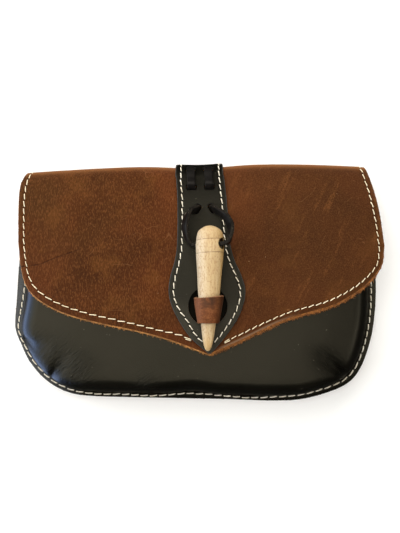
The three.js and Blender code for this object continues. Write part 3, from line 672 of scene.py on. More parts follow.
class Seam:
    """A line of stitches: its needle holes, and the leather's direction at each."""

    def __init__(self, points, normals, pitch=PITCH, slant=0.3, thread=THREAD_RADIUS.body):
        steps = np.linalg.norm(np.diff(points, axis=0), axis=1)
        pitches = np.broadcast_to(np.asarray(pitch, float), len(points))
        beats = np.concatenate([[0], np.cumsum(2 * steps / (pitches[1:] + pitches[:-1]))])
        count = max(int(round(beats[-1])), 1)
        beats *= count / beats[-1]
        self.slant = slant
        self.thread = thread
        self.holes = self.read(points, beats, np.arange(count + 1))
        self.normals = unit(self.read(normals, beats, np.arange(count + 1)))
        self.fine_run = np.linspace(0, count, int(steps.sum() / SEAM_STEP))
        self.fine = self.read(points, beats, self.fine_run)
        self.fine_up = unit(self.read(normals, beats, self.fine_run))
        self.fine_way = unit(np.gradient(self.fine, axis=0))
        self.fine_pitch = np.interp(self.fine_run, beats, pitches)

    @staticmethod
    def read(values, beats, where):
        return np.stack([np.interp(where, beats, column) for column in values.T], axis=-1)


def mark_seams(piece, seams):
    """Tells each point its place beside the nearest seam: off in mm, and along in stitches."""
    fine = np.vstack([seam.fine for seam in seams])
    points = mesh_points(piece)
    nearest, _ = nearest_on(fine, points)
    offset = points - fine[nearest]
    run = np.concatenate([seam.fine_run for seam in seams])[nearest]
    pitch = np.concatenate([seam.fine_pitch for seam in seams])[nearest]
    way = np.vstack([seam.fine_way for seam in seams])[nearest]
    up = np.vstack([seam.fine_up for seam in seams])[nearest]
    off = np.sum(offset * np.cross(up, way), axis=1)
    set_values(piece, "seam_run", run + np.sum(offset * way, axis=1) / pitch)
    set_values(piece, "seam_off", np.clip(off, -SEAM_SIGHT.off, SEAM_SIGHT.off))
    set_values(piece, "seam_far", np.clip(np.linalg.norm(offset, axis=1), 0, SEAM_SIGHT.far))


def stitches(name, seams, material):
    """Each stitch is a twisted thread that rises from one needle hole and goes down the next."""
    along = evenly(STITCH.rings)
    angles = around(STITCH.sides)
    from_middle = 2 * along - 1
    height = STITCH.sunk + STITCH.rise * (1 - np.abs(from_middle) ** 5)
    reach = blend(STITCH.from_hole, 1 - STITCH.from_hole, along)
    taper = blend(STITCH.ends, 1, 1 - np.abs(from_middle) ** 4)
    twist = 2 * math.pi * STITCH.turns * along
    ply = 1 + STITCH.ply * np.cos(2 * angles[None] - twist[:, None])
    tubes = []
    for seam in seams:
        start, stop = seam.holes[:-1], seam.holes[1:]
        up = unit(seam.normals[:-1] + seam.normals[1:])
        way = unit(stop - start)
        side = np.cross(up, way)
        jitter = STITCH.jitter * random.standard_normal((len(start), 2))
        slant = (seam.slant + jitter[:, 0])[:, None] * from_middle + jitter[:, 1:]
        middle = start[:, None] + (stop - start)[:, None] * reach[None, :, None]
        middle = middle + up[:, None] * height[None, :, None] + side[:, None] * slant[..., None]
        rounds = seam.thread * taper[:, None] * ply
        out_side = rounds * np.cos(angles)[None]
        out_up = STITCH.flat * rounds * np.sin(angles)[None]
        ring = middle[:, :, None] + side[:, None, None] * out_side[None, :, :, None]
        tubes += list(ring + up[:, None, None] * out_up[None, :, :, None])
    return joined_tubes(name, tubes, material)


def offset_inward(points, inset):
    """A plan line moved to its left by an inset that may differ along it."""
    way = unit(np.gradient(points, axis=0))
    left = np.stack([-way[:, 1], way[:, 0]], axis=-1)
    return points + left * np.broadcast_to(inset, len(points))[:, None]


# Materials

class Shader:
    """A material's nodes, put together by short calls."""

    def __init__(self, name):
        self.material = bpy.data.materials.new(name)
        self.material.use_nodes = True
        self.tree = self.material.node_tree
        self.surface = self.tree.nodes["Principled BSDF"]
        self.place = self.scaled(self.node("ShaderNodeTexCoord").outputs["Object"], (1 / MM,) * 3)

    def feed(self, socket, value):
        if isinstance(value, bpy.types.NodeSocket):
            self.tree.links.new(value, socket)
        else:
            socket.default_value = value

    def node(self, kind, settings=None, **inputs):
        node = self.tree.nodes.new(kind)
        for key, value in (settings or {}).items():
            setattr(node, key, value)
        for key, value in inputs.items():
            self.feed(node.inputs[key.replace("_", " ")], value)
        return node

    def math(self, operation, *values, clamp=False):
        node = self.node("ShaderNodeMath", {"operation": operation, "use_clamp": clamp})
        for socket, value in zip(node.inputs, values):
            self.feed(socket, value)
        return node.outputs[0]

    def times(self, *values):
        """The product of values."""
        product = values[0]
        for value in values[1:]:
            product = self.math("MULTIPLY", product, value)
        return product

    def plus(self, value, weight, more):
        """A weighted value and a number more."""
        return self.math("MULTIPLY_ADD", value, weight, more)

    def off(self, value, middle=0.0):
        """How far a value is from a middle, either way."""
        return self.math("ABSOLUTE", self.math("SUBTRACT", value, middle))

    def of_place(self, operation, output="Vector"):
        node = self.node("ShaderNodeVectorMath", {"operation": operation}, Vector=self.place)
        return node.outputs[output]

    def scaled(self, place, scale, turn=(0, 0, 0)):
        node = self.node("ShaderNodeMapping", Vector=place, Scale=scale, Rotation=turn)
        return node.outputs["Vector"]

    def turned(self, *turn):
        return self.scaled(self.place, (1, 1, 1), turn)

    def axis(self, name):
        return self.node("ShaderNodeSeparateXYZ", Vector=self.place).outputs[name]

    def noise(self, scale, detail=3.0, rough=0.55, place=None, twist=0.0):
        node = self.node(
            "ShaderNodeTexNoise", Vector=place or self.place, Scale=scale, Detail=detail,
            Roughness=rough, Distortion=twist,
        )
        return node.outputs["Fac"]

    def cells(self, scale, place=None, feature="F1"):
        node = self.node(
            "ShaderNodeTexVoronoi", {"feature": feature}, Vector=place or self.place, Scale=scale,
        )
        return node.outputs["Distance"]

    def ranged(self, value, low, high, to_low=0.0, to_high=1.0):
        node = self.node(
            "ShaderNodeMapRange", {"interpolation_type": "SMOOTHSTEP"}, Value=value, From_Min=low,
            From_Max=high, To_Min=to_low, To_Max=to_high,
        )
        return node.outputs["Result"]

    def ramp(self, value, stops):
        node = self.node("ShaderNodeValToRGB", Fac=value)
        elements = node.color_ramp.elements
        while len(elements) < len(stops):
            elements.new(0.5)
        for element, (position, colour) in zip(elements, stops):
            element.position = position
            element.color = (*colour, 1)
        return node.outputs["Color"]

    def mix(self, share, first, second, blend="MIX"):
        node = self.node("ShaderNodeMix", {"data_type": "RGBA", "blend_type": blend})
        for number, value in ((0, share), (6, first), (7, second)):
            if isinstance(value, tuple) and len(value) == 3:
                value = (*value, 1)
            self.feed(node.inputs[number], value)
        return node.outputs[2]

    def layers(self, colour, tints):
        """A colour with tints laid over it in turn, each with its mask and weight."""
        for mask, weight, tint in tints:
            colour = self.mix(self.times(mask, weight), colour, tint)
        return colour

    def value(self, name):
        return self.node("ShaderNodeAttribute", {"attribute_name": name}).outputs["Fac"]

    def seam(self, groove=0.16, hole=0.5):
        """Needle holes and the groove that the thread pulls: the share painted dark as shade in the holes,
        and height in mm.
        """
        off = self.off(self.value("seam_off"))
        near = self.ranged(self.value("seam_far"), 4.0, 3.0)
        beat = self.math("PINGPONG", self.value("seam_run"), 0.5)
        along = self.math("POWER", self.times(beat, PITCH / NEEDLE_HOLE.long), 2.0)
        aside = self.math("POWER", self.times(off, 1 / NEEDLE_HOLE.wide), 2.0)
        reach = self.math("SQRT", self.math("ADD", along, aside))
        holes = self.times(self.ranged(reach, 0.95, 0.4), near)
        pull = self.times(self.ranged(off, 1.5, 0.1), near)
        return holes, self.sum((holes, -hole), (pull, -groove))

    def sum(self, *terms):
        """The sum of (value, weight) pairs."""
        total = self.times(*terms[0])
        for value, weight in terms[1:]:
            total = self.plus(value, weight, total)
        return total

    def bump(self, height, strength=1.0):
        """Relief from a height in mm."""
        return self.node("ShaderNodeBump", Height=height, Distance=MM, Strength=strength).outputs["Normal"]

    def finish(self, **sockets):
        for key, value in sockets.items():
            self.feed(self.surface.inputs[key.replace("_", " ")], value)
        return self.material


def brown_grain():
    """Oiled brown leather: wormy grain on the left, darker and finer with scuffs on the right."""
    s = Shader("brown_leather_grain")
    x, y = s.axis("X"), s.axis("Y")
    rightness = s.ranged(x, -40, 75)
    leftness = s.plus(rightness, -0.85, 1.0)
    blotch = s.noise(0.016, 3.0, 0.6)
    patch_tone = s.noise(0.07, 4.0, 0.62)
    worms = s.noise(1.0, 2.0, 0.5, s.scaled(s.place, (1.75, 0.46, 1.75)), 0.3)
    fine = s.noise(1.5, 3.0, 0.7)
    tone = s.sum((blotch, 0.66), (patch_tone, 0.28), (fine, 0.75))
    reddish = s.ranged(s.noise(0.02, 2.0, 0.5, s.turned(0.3, 0.9, 0.5)), 0.44, 0.60)
    olive = s.ranged(s.noise(0.03, 3.0, 0.6), 0.3, 0.6, 0.25, 0.8)
    olive = s.times(s.ranged(y, -10, 50), s.ranged(x, -20, -80), olive)
    tan = s.ranged(s.noise(0.05, 3.0, 0.6, s.turned(0.7, 0.4, 0.0)), 0.52, 0.68)
    speckle = s.times(s.ranged(fine, 0.46, 0.62), rightness)
    # Painted light: the leather turning away over the back of the fold is painted paler, where the lamps
    # leave it darker.
    fold = s.times(s.ranged(s.axis("Z"), 22.0, 18.0), s.ranged(y, 56, 60))
    ridges = s.times(s.ranged(worms, 0.50, 0.64), leftness)
    valleys = s.times(s.ranged(worms, 0.46, 0.34), leftness)
    streaks = s.noise(1.0, 4.0, 0.6, s.scaled(s.turned(0, 0, math.radians(25)), (0.24, 0.035, 0.1)))
    broken = s.ranged(s.noise(1.2, 2.0), 0.35, 0.65)
    scuffs = s.times(s.ranged(streaks, 0.54, 0.72), s.plus(rightness, 0.85, 0.15), broken)
    scratches = s.ranged(s.off(s.noise(0.045, 2.0, 0.4), 0.5), 0.004, 0.0)
    scratches = s.times(scratches, s.ranged(s.noise(0.11, 2.0), 0.54, 0.62))
    dots = s.times(s.ranged(s.cells(0.13), 0.034, 0.014), s.ranged(s.noise(0.2, 1.0), 0.5, 0.56))
    # The crease: a real dent in the bump, and a dark tint that is painted shade in it.
    crease_and_shade = s.times(s.ranged(s.off(s.value("crease_off")), 0.6, 0.1), s.ranged(x, -66, -74))
    crease_and_shade = s.times(crease_and_shade, s.ranged(s.noise(0.3, 2.0), 0.35, 0.6, 0.35, 1.0))
    edge = s.value("edge_mm")
    worn = s.times(s.ranged(edge, 2.6, 0.4), s.ranged(s.noise(0.35, 3.0), 0.35, 0.7))
    # Painted highlight: a pale band along the lower edge beside the tip, where the edge rolls down towards
    # the light.
    beside_tip = s.times(s.ranged(x, 9, 16), s.ranged(x, 62, 40), s.ranged(y, -8, -14))
    bevel_highlight = s.times(s.ranged(edge, 3.0, 1.9), beside_tip)
    # holes: the needle holes, painted dark as shade in them.
    holes, seam_height = s.seam()
    colour = s.ramp(s.math("SUBTRACT", tone, 0.385), [
        (0.24, (0.024, 0.0067, 0.0020)), (0.43, (0.052, 0.0145, 0.0037)),
        (0.58, (0.078, 0.0220, 0.0054)), (0.80, (0.143, 0.0450, 0.0119)),
    ])
    colour = s.layers(colour, [
        (reddish, 0.5, (0.086, 0.0212, 0.0058)), (olive, 1.0, (0.050, 0.0190, 0.0050)),
        (tan, 0.35, (0.126, 0.0450, 0.0098)), (rightness, 0.5, (0.037, 0.0143, 0.0051)),
        (speckle, 0.45, (0.100, 0.0380, 0.0125)), (fold, 0.75, (0.24, 0.096, 0.029)),
        (ridges, 0.36, (0.165, 0.0570, 0.0170)), (valleys, 0.42, (0.034, 0.0090, 0.0028)),
        (scuffs, 0.42, (0.21, 0.078, 0.022)), (scratches, 0.3, (0.27, 0.120, 0.044)),
        (dots, 0.7, (0.56, 0.36, 0.17)), (crease_and_shade, 0.7, (0.014, 0.0050, 0.0020)),
        (worn, s.ranged(x, 0, 12, 0.12, 0.5), (0.20, 0.080, 0.030)),
        (bevel_highlight, 0.75, (0.205, 0.118, 0.068)), (holes, 0.8, (0.026, 0.009, 0.0035)),
    ])
    height = s.sum(
        (ridges, 0.03), (worms, 0.05), (patch_tone, 0.22), (fine, 0.05), (crease_and_shade, -0.2), (seam_height, 1.0),
    )
    rough = s.sum((patch_tone, 0.22), (fine, 0.12), (rightness, -0.04))
    return s.finish(
        Base_Color=colour, Roughness=s.math("ADD", rough, 0.44), Normal=s.bump(height),
        Specular_IOR_Level=0.12, Specular_Tint=(1.0, 0.72, 0.45, 1),
    )


def brown_flesh():
    """The napped inner side of the brown leather."""
    s = Shader("brown_leather_flesh")
    nap = s.noise(1.4, 4.0, 0.7)
    broad = s.noise(0.06, 3.0)
    colour = s.ramp(s.sum((nap, 0.6), (broad, 0.4)), [
        (0.3, (0.10, 0.045, 0.018)), (0.55, (0.20, 0.098, 0.042)), (0.75, (0.30, 0.155, 0.070)),
    ])
    relief = s.bump(s.times(nap, 0.25))
    return s.finish(Base_Color=colour, Roughness=0.92, Normal=relief, Sheen_Weight=0.2)


def raw_edge(name, dark, light, depth=0.3, right=None):
    """A cut edge: loose fibres in layers; right is a tint for the right half."""
    s = Shader(name)
    fibres = s.noise(1.1, 4.0, 0.7, s.scaled(s.place, (1.0, 1.0, 2.4)))
    tufts = s.noise(0.4, 3.0, 0.65)
    colour = s.ramp(s.sum((fibres, 0.6), (tufts, 0.4)), [(0.38, dark), (0.62, light)])
    if right:
        on_right = s.ranged(s.axis("X"), TIP_X - 6, TIP_X + 6)
        colour = s.mix(on_right, colour, s.mix(1.0, colour, right, "MULTIPLY"))
    relief = s.bump(s.sum((fibres, depth), (tufts, depth)))
    return s.finish(Base_Color=colour, Roughness=0.88, Normal=relief)


def black_grain():
    """Smooth black leather with a soft shine; it creases finely where it is gathered."""
    s = Shader("black_leather_grain")
    broad = s.noise(0.028, 3.0, 0.6)
    fine = s.noise(1.3, 3.0, 0.6)
    pores = s.cells(1.7)
    leaning = s.scaled(s.of_place("ABSOLUTE"), (1, 1, 1), (0, 0, math.radians(-40)))
    creases = s.noise(0.7, 3.0, 0.55, s.scaled(leaning, (0.30, 1.6, 1.0)), 0.5)
    gather = s.value("gather")
    dust = s.ranged(s.noise(0.8, 0.0), 0.86, 0.88)
    # Painted reflection: a pale bluish sheen along the left rim stands for the cool light from the left.
    painted_cool_sheen = s.times(s.value("painted_cool_sheen"), s.ranged(fine, 0.25, 0.65, 0.35, 1.0))
    # holes: the needle holes, painted dark as shade in them.
    holes, seam_height = s.seam(groove=0.3)
    colour = s.ramp(s.sum((broad, 0.75), (fine, 0.25)), [
        (0.32, (0.0022, 0.0020, 0.0014)), (0.62, (0.0038, 0.0034, 0.0023)),
    ])
    colour = s.layers(colour, [
        (dust, 0.4, (0.16, 0.145, 0.11)), (holes, 1.0, (0.003, 0.003, 0.003)),
        (painted_cool_sheen, 0.8, (0.056, 0.061, 0.071)),
    ])
    height = s.sum(
        (fine, 0.045), (pores, 0.035), (broad, 0.5), (s.times(creases, gather), 1.05),
        (s.value("fold_mm"), -0.32), (seam_height, 1.0),
    )
    rough = s.sum((broad, 0.10), (fine, 0.10), (gather, 0.05))
    return s.finish(
        Base_Color=colour, Roughness=s.math("ADD", rough, 0.27), Normal=s.bump(height),
        # Painted shade: the shine is turned down under the keeper hole.
        Specular_IOR_Level=s.plus(s.value("hole_shade"), -0.38, 0.44), Specular_Tint=(1.0, 0.905, 0.67, 1),
    )


def black_flesh():
    s = Shader("black_leather_flesh")
    nap = s.noise(1.4, 4.0, 0.7)
    colour = s.ramp(nap, [(0.3, (0.016, 0.015, 0.014)), (0.7, (0.050, 0.047, 0.043))])
    return s.finish(Base_Color=colour, Roughness=0.95, Normal=s.bump(s.times(nap, 0.25)))


def tongue_grain():
    """The tongue's black leather, a little more matt than the front panel's."""
    s = Shader("tongue_leather_grain")
    y = s.axis("Y")
    broad = s.noise(0.05, 3.0, 0.6)
    fine = s.noise(1.6, 3.0, 0.6)
    pores = s.cells(1.9)
    wrinkles = s.noise(0.5, 3.0, 0.6, s.scaled(s.place, (0.25, 0.9, 0.5)), 0.6)
    specks = s.ranged(s.noise(0.9, 0.0), 0.83, 0.87)
    # holes: the needle holes, painted dark as shade in them.
    holes, seam_height = s.seam(groove=0.22)
    colour = s.ramp(s.sum((broad, 0.6), (fine, 0.4)), [
        (0.3, (0.0036, 0.0034, 0.0025)), (0.65, (0.0072, 0.0067, 0.0048)),
    ])
    colour = s.layers(colour, [
        # Painted shade darkens the top, where the tongue turns back over the fold, and a painted sheen
        # lightens it low down.
        (s.ranged(y, 44, 58), 0.9, (0.0008, 0.0007, 0.0005)),
        (s.ranged(y, -6, -18), 0.75, (0.0195, 0.0178, 0.0132)),
        (specks, 0.35, (0.15, 0.135, 0.10)),
        # Painted highlight: the grain is lighter close to the cut edges.
        (s.ranged(s.value("edge_mm"), 1.3, 0.3), 0.6, (0.010, 0.0098, 0.0085)),
        (holes, 1.0, (0.003, 0.003, 0.003)),
    ])
    height = s.sum((fine, 0.05), (pores, 0.04), (broad, 0.3), (wrinkles, 0.22), (seam_height, 1.0))
    rough = s.sum((broad, 0.16), (fine, 0.12))
    return s.finish(
        Base_Color=colour, Roughness=s.math("ADD", rough, 0.40), Normal=s.bump(height),
        Specular_IOR_Level=0.46, Specular_Tint=(1.0, 0.91, 0.69, 1),
    )


def toggle_wood():
    """Pale turned wood with flecks along the grain and two thin burnt rings; painted light pales its left
    side, and painted shade darkens its right side and its head.
    """
    s = Shader("toggle_wood")
    x, along = s.axis("X"), s.value("along_mm")
    grain = s.noise(0.75, 4.0, 0.6, s.scaled(s.place, (1.0, 0.075, 1.0)))
    bands = s.noise(0.16, 2.0, 0.5, s.scaled(s.place, (1.0, 0.2, 1.0)))
    flecks = s.ranged(s.noise(1.2, 2.0, 0.6, s.scaled(s.place, (1.2, 0.5, 1.2))), 0.50, 0.64)
    colour = s.ramp(s.sum((grain, 0.55), (bands, 0.45)), [
        (0.28, (0.38, 0.235, 0.093)), (0.48, (0.52, 0.365, 0.182)), (0.68, (0.60, 0.480, 0.295)),
    ])
    broken = s.ranged(s.noise(0.55, 3.0), 0.3, 0.62, 0.25, 0.85)
    slanting = s.plus(x, 0.07, along)
    rings = [s.ranged(s.off(slanting, ring + 0.5), 0.34, 0.08) for ring in TOGGLE_RINGS]
    colour = s.layers(colour, [
        # Painted light makes the left side paler, and painted shade makes the right side darker.
        (s.ranged(x, 7, -1), 0.8, (0.64, 0.545, 0.415)), (s.ranged(x, 10, 16), 0.8, (0.50, 0.300, 0.080)),
        (flecks, 0.62, (0.36, 0.195, 0.078)),
        *((ring, broken, (0.17, 0.085, 0.035)) for ring in rings),
        # Painted shade darkens the head end.
        (s.ranged(along, 9, 3), 0.4, (0.42, 0.285, 0.135)),
        (s.ranged(along, 60, TOGGLE_LENGTH), 0.35, (0.56, 0.340, 0.105)),
    ])
    return s.finish(
        Base_Color=colour, Roughness=s.plus(grain, 0.2, 0.36), Specular_IOR_Level=0.4,
        Normal=s.bump(s.sum((grain, 0.05), (flecks, -0.03))),
    )


def lace_leather():
    """A black thong: smooth faces and rougher, browner cut sides with pale specks."""
    s = Shader("lace_leather")
    fine = s.noise(1.5, 4.0, 0.65)
    broad = s.noise(0.25, 3.0)
    cut = s.value("cut")
    face = s.ramp(s.sum((fine, 0.5), (broad, 0.5)), [
        (0.32, (0.0032, 0.0028, 0.0026)), (0.66, (0.0075, 0.0066, 0.0060)),
    ])
    nap = s.ramp(fine, [
        (0.35, (0.004, 0.0033, 0.0027)), (0.58, (0.011, 0.0086, 0.0064)), (0.74, (0.12, 0.100, 0.060)),
    ])
    return s.finish(
        Base_Color=s.mix(cut, face, nap), Roughness=s.plus(cut, 0.45, 0.30), Specular_IOR_Level=0.24,
        Normal=s.bump(s.sum((fine, s.plus(cut, 0.2, 0.04)), (broad, 0.12))),
        Specular_Tint=(1.0, 0.92, 0.84, 1),
    )


def keeper_grain():
    """The keeper's reddish leather, streaked where the toggle rubs it and stained by the toggle, with
    painted light on its left side and painted shade on its right flank.
    """
    s = Shader("keeper_leather_grain")
    x, y = s.axis("X"), s.axis("Y")
    broad = s.noise(0.16, 3.0, 0.6)
    fine = s.noise(1.3, 3.0, 0.65)
    rubs = s.noise(1.0, 3.0, 0.6, s.scaled(s.place, (0.2, 1.3, 0.6)))
    blots = s.ranged(s.noise(0.26, 3.0, 0.6, s.turned(0, 0, 0.6)), 0.28, 0.54)
    stain = s.times(s.ranged(y, -17.0, -8.5), s.ranged(s.off(x, 6.5), 6.5, 1.0), blots)
    colour = s.ramp(s.sum((broad, 0.45), (fine, 0.30), (rubs, 0.25)), [
        (0.36, (0.050, 0.0145, 0.0042)), (0.5, (0.135, 0.0385, 0.0100)), (0.64, (0.250, 0.0860, 0.0250)),
    ])
    colour = s.layers(colour, [
        (stain, 0.75, (0.024, 0.014, 0.009)),
        # Painted light on the keeper's left side, then painted shade on its right flank.
        (s.ranged(x, 3.0, 0.0), s.ranged(fine, 0.3, 0.6, 0.2, 0.5), (0.25, 0.105, 0.060)),
        (s.ranged(x, 9.0, 14.0), 0.85, (0.028, 0.0090, 0.0028)),
    ])
    return s.finish(
        Base_Color=colour, Roughness=s.plus(fine, 0.25, 0.42), Specular_IOR_Level=0.3,
        Normal=s.bump(s.sum((fine, 0.05), (broad, 0.12), (rubs, 0.04))), Specular_Tint=(1.0, 0.87, 0.7, 1),
    )


def sewing_thread(name, soiled, plain, pale):
    """Waxed thread, soiled in places."""
    s = Shader(name)
    soil = s.noise(0.12, 3.0, 0.6)
    fuzz = s.noise(2.6, 3.0, 0.6)
    colour = s.ramp(s.sum((soil, 0.7), (fuzz, 0.3)), [(0.3, soiled), (0.5, plain), (0.7, pale)])
    relief = s.bump(s.times(fuzz, 0.06))
    return s.finish(Base_Color=colour, Roughness=0.78, Normal=relief, Sheen_Weight=0.15)


BROWN = [
    brown_grain(), brown_flesh(),
    raw_edge("brown_leather_edge", (0.125, 0.046, 0.0125), (0.76, 0.345, 0.090), right=(0.58, 0.47, 0.34)),
]
BLACK = [
    black_grain(), black_flesh(),
    raw_edge("black_leather_edge", (0.0055, 0.0052, 0.0050), (0.030, 0.027, 0.024), 0.2),
]
TONGUE = [
    tongue_grain(), BLACK[1],
    # The tongue's cut edge is made paler than the panel's: a painted highlight for the light from the left.
    raw_edge("tongue_leather_edge", (0.016, 0.016, 0.015), (0.090, 0.091, 0.083), 0.15),
]
KEEPER = [
    keeper_grain(), BROWN[1],
    raw_edge("keeper_leather_edge", (0.10, 0.040, 0.016), (0.33, 0.150, 0.062), 0.2),
]
WOOD = toggle_wood()
LACE_SKIN = lace_leather()
THREAD = sewing_thread("sewing_thread", (0.62, 0.54, 0.39), (0.79, 0.72, 0.57), (0.89, 0.83, 0.70))
FLAP_THREAD = sewing_thread("flap_thread", (0.64, 0.52, 0.32), (0.82, 0.70, 0.47), (0.91, 0.80, 0.59))


# The back panel and flap, one sheet

def fold_x(u, tucked=0):
    """Places along the fold, whose ends are drawn in where it is tucked."""
    left = FOLD_LEFT + FOLD_TUCK.left * tucked
    right = FOLD_RIGHT - FOLD_TUCK.right * tucked
    return np.where(u < 0.5, blend(left, TIP_X, 2 * u), blend(TIP_X, right, 2 * u - 1))


EDGE_LEFT = Curve(FLAP_EDGE_LEFT)
EDGE_RIGHT = Curve(FLAP_EDGE_RIGHT)
SIDE_LEFT = Curve([FLAP_EDGE_LEFT[0], *FLAP_SIDE_LEFT, (FOLD_LEFT, tangent_y(FOLD_LEFT))])
SIDE_RIGHT = Curve([FLAP_EDGE_RIGHT[-1], *FLAP_SIDE_RIGHT, (FOLD_RIGHT, tangent_y(FOLD_RIGHT))])


def flap_grid():
    """The front down to its pointed edge, the fold and the back down to the body's outline."""
    u = crowded_ends(FLAP_MESH.across, (0.0012, 0.003))
    v = crowded_ends(FLAP_MESH.front, (0.004, 0.008))
    w = crowded_ends(FLAP_MESH.back, (0.004, 0.010))
    lower = np.where((u < 0.5)[:, None], EDGE_LEFT.at(2 * u), EDGE_RIGHT.at(2 * u - 1))
    upper = np.stack([fold_x(u), tangent_y(fold_x(u))], axis=-1)
    plan = patch(lower, upper, SIDE_LEFT.at(v), SIDE_RIGHT.at(v), u, v)[:-1]
    front = np.dstack([plan, flap_height(plan[..., 0], plan[..., 1])])
    turned = evenly(FLAP_MESH.fold)[:-1, None]
    fold = skin_point(fold_x(u[None], np.sin(math.pi * turned)), -FOLD_LENGTH * turned)
    seam = np.stack([fold_x(u), fold_centre_y(fold_x(u))], axis=-1)
    foot = BODY.at(BACK_SIDE_SHARE + (1 - 2 * BACK_SIDE_SHARE) * u)
    plan = patch(seam, foot, BODY.at(w * BACK_SIDE_SHARE), BODY.at(1 - w * BACK_SIDE_SHARE), u, w)
    back = np.dstack([plan, back_height(plan[..., 0], plan[..., 1])])
    return np.concatenate([front, fold, back])


def slot_cutter(x, station, turn):
    half = SLOT.depth / 2
    points, faces = prism(slot_outline(SLOT.length, SLOT.width, turn), -half, half)
    return turned_to(points, skin_normal(x, station), above_skin(x, station, TONGUE_LIFT / 2)), faces


def flap_cutters():
    hole = KEEPER_HOLE
    points, faces = prism(circle(hole.radius, 72), -hole.depth / 2, hole.depth / 2)
    cutters = [(points + (hole.x, hole.y, flap_height(hole.x, hole.y)), faces)]
    for side in LACE_SIDES:
        turns = (0, 0, -side.outward * LOOP_HOLE_TURN)
        for x, station, turn in zip(side.x, SLOT_STATIONS, turns):
            cutters.append(slot_cutter(x, station, turn))
    return cutters


def border_distance(points, line):
    return nearest_on(in_plan(line), in_plan(points))[1]


def side_of_line(points, line):
    """How far to the left of a plan line each point lies, below zero on its right."""
    nearest, _ = nearest_on(in_plan(line), in_plan(points))
    way = unit(np.gradient(line, axis=0))[nearest]
    offset = points[:, :2] - line[nearest]
    return way[:, 0] * offset[:, 1] - way[:, 1] * offset[:, 0]


FLAP_BORDER = np.vstack([
    [(FOLD_LEFT, FOLD_CREST.y)],
    SIDE_LEFT.at(np.linspace(1, 0, 150)),
    EDGE_LEFT.at(evenly(500)),
    EDGE_RIGHT.at(evenly(500)),
    SIDE_RIGHT.at(evenly(150)),
    [(FOLD_RIGHT, FOLD_CREST.y)],
])


def long_stitched(y, part):
    """The stitch pitch, which is longer low down."""
    return blend(PITCH, LONG_PITCH, smooth_step((part.below - y) / part.fade))


def flap_seams():
    """Down each side from behind the fold, then along the lower edge to the tongue."""
    seams = []
    side_steps, low_steps = 120, 400
    for side, edge, u, flip in ((SIDE_LEFT, EDGE_LEFT, 0, 1), (SIDE_RIGHT, EDGE_RIGHT, 1, -1)):
        fold_run = np.linspace(-FOLD_LENGTH, -0.5, 40)
        fold_end = fold_x(u, np.sin(-math.pi * fold_run / FOLD_LENGTH))
        turned = skin_point(fold_end + flip * FLAP_SEAM_SIDE, fold_run)
        turned_up = skin_normal(turned[:, 0], fold_run)
        down_side = side.at(np.linspace(0.999, 0, side_steps))
        low = edge.at(np.abs(u - np.linspace(0.004, 1, low_steps)))
        inset_low = blend(FLAP_SEAM_SIDE, FLAP_SEAM_LOW, smooth_step(np.linspace(0, 4, low_steps)))
        if flip > 0:
            inset_low -= FLAP_SEAM_CLOSING * smooth_step(np.linspace(-0.8, 1, low_steps))
            bow = bell(low[:, 0] - FLAP_SEAM_BOW.x, FLAP_SEAM_BOW.reach)
            inset_low += FLAP_SEAM_BOW.deeper * bow
        inset = np.concatenate([np.full(side_steps, FLAP_SEAM_SIDE), inset_low])
        line = offset_inward(np.vstack([down_side, low]), inset * flip)
        left, right = tongue_edges_at(line[:, 1])
        past_left = line[:, 0] > left - FLAP_SEAM_STOP.left
        reached = past_left & (line[:, 0] < right + FLAP_SEAM_STOP.right)
        if reached.any():
            line = line[:np.argmax(reached)]
        station = np.maximum(tangent_y(line[:, 0]) - line[:, 1], 0)
        points = np.vstack([turned, skin_point(line[:, 0], station)])
        normals = np.vstack([turned_up, skin_normal(line[:, 0], station)])
        pitch = long_stitched(points[:, 1], LONG_ON_FLAP) if flip > 0 else PITCH
        points = points + normals * LEATHER / 2
        seams.append(Seam(points, normals, pitch, thread=THREAD_RADIUS.flap))
        run = run_along(points)
        again = run > run[-1] - BACK_STITCHED
        aside = unit(np.cross(normals[again], np.gradient(points[again], axis=0)))
        beside = points[again] - aside * flip * BACK_STITCH_ASIDE
        seams.append(Seam(beside, normals[again], thread=THREAD_RADIUS.flap))
    return seams


def tongue_edges_at(y):
    y = np.clip(y, TONGUE_EDGES[0, 0], TONGUE_EDGES[-1, 0])
    return read_table(TONGUE_EDGES, y, 1), read_table(TONGUE_EDGES, y, 2)


def plan_to_surface(line, height, lift, step=0.2):
    """Plan points put on one face of a sheet, and the way out of that face."""
    x, y = line.T
    slope_x = (height(x + step, y) - height(x - step, y)) / (2 * step)
    slope_y = (height(x, y + step) - height(x, y - step)) / (2 * step)
    up = unit(np.column_stack([-slope_x, -slope_y, np.ones(len(x))]))
    return np.column_stack([x, y, height(x, y)]) + up * lift, up * np.sign(lift)


def body_seams():
    """Round the body: on the front flange, and the same line on the back."""
    low = BODY.share_at_y(BODY_SEAM_TOP, 0, 0.3)
    high = BODY.share_at_y(BODY_SEAM_TOP, 1, 0.7)
    line = BODY.at(np.linspace(low, high, 1200))
    x, y = line.T
    up_left = (x < BODY_SEAM_CORNER[0]) & (y > BODY_SEAM_CORNER[1])
    on_left = read_table(BODY_SEAM_LEFT, np.clip(y, *BODY_SEAM_LEFT[[0, -1], 0]), 1)
    along_low = read_table(BODY_SEAM_LOW, np.clip(x, *BODY_SEAM_LOW[[0, -1], 0]), 1)
    line = offset_inward(line, np.where(up_left, on_left, along_low))
    pitch = long_stitched(line[:, 1], LONG_ON_BODY)
    front = line[:, 1] < MOUTH_Y - 1
    on_front = plan_to_surface(line, panel_height, LEATHER / 2)
    on_back = plan_to_surface(line, back_height, -LEATHER / 2)
    return (Seam(*(part[front] for part in on_front), pitch[front], slant=BODY_SLANT),
            Seam(*on_back, pitch, slant=-BODY_SLANT))


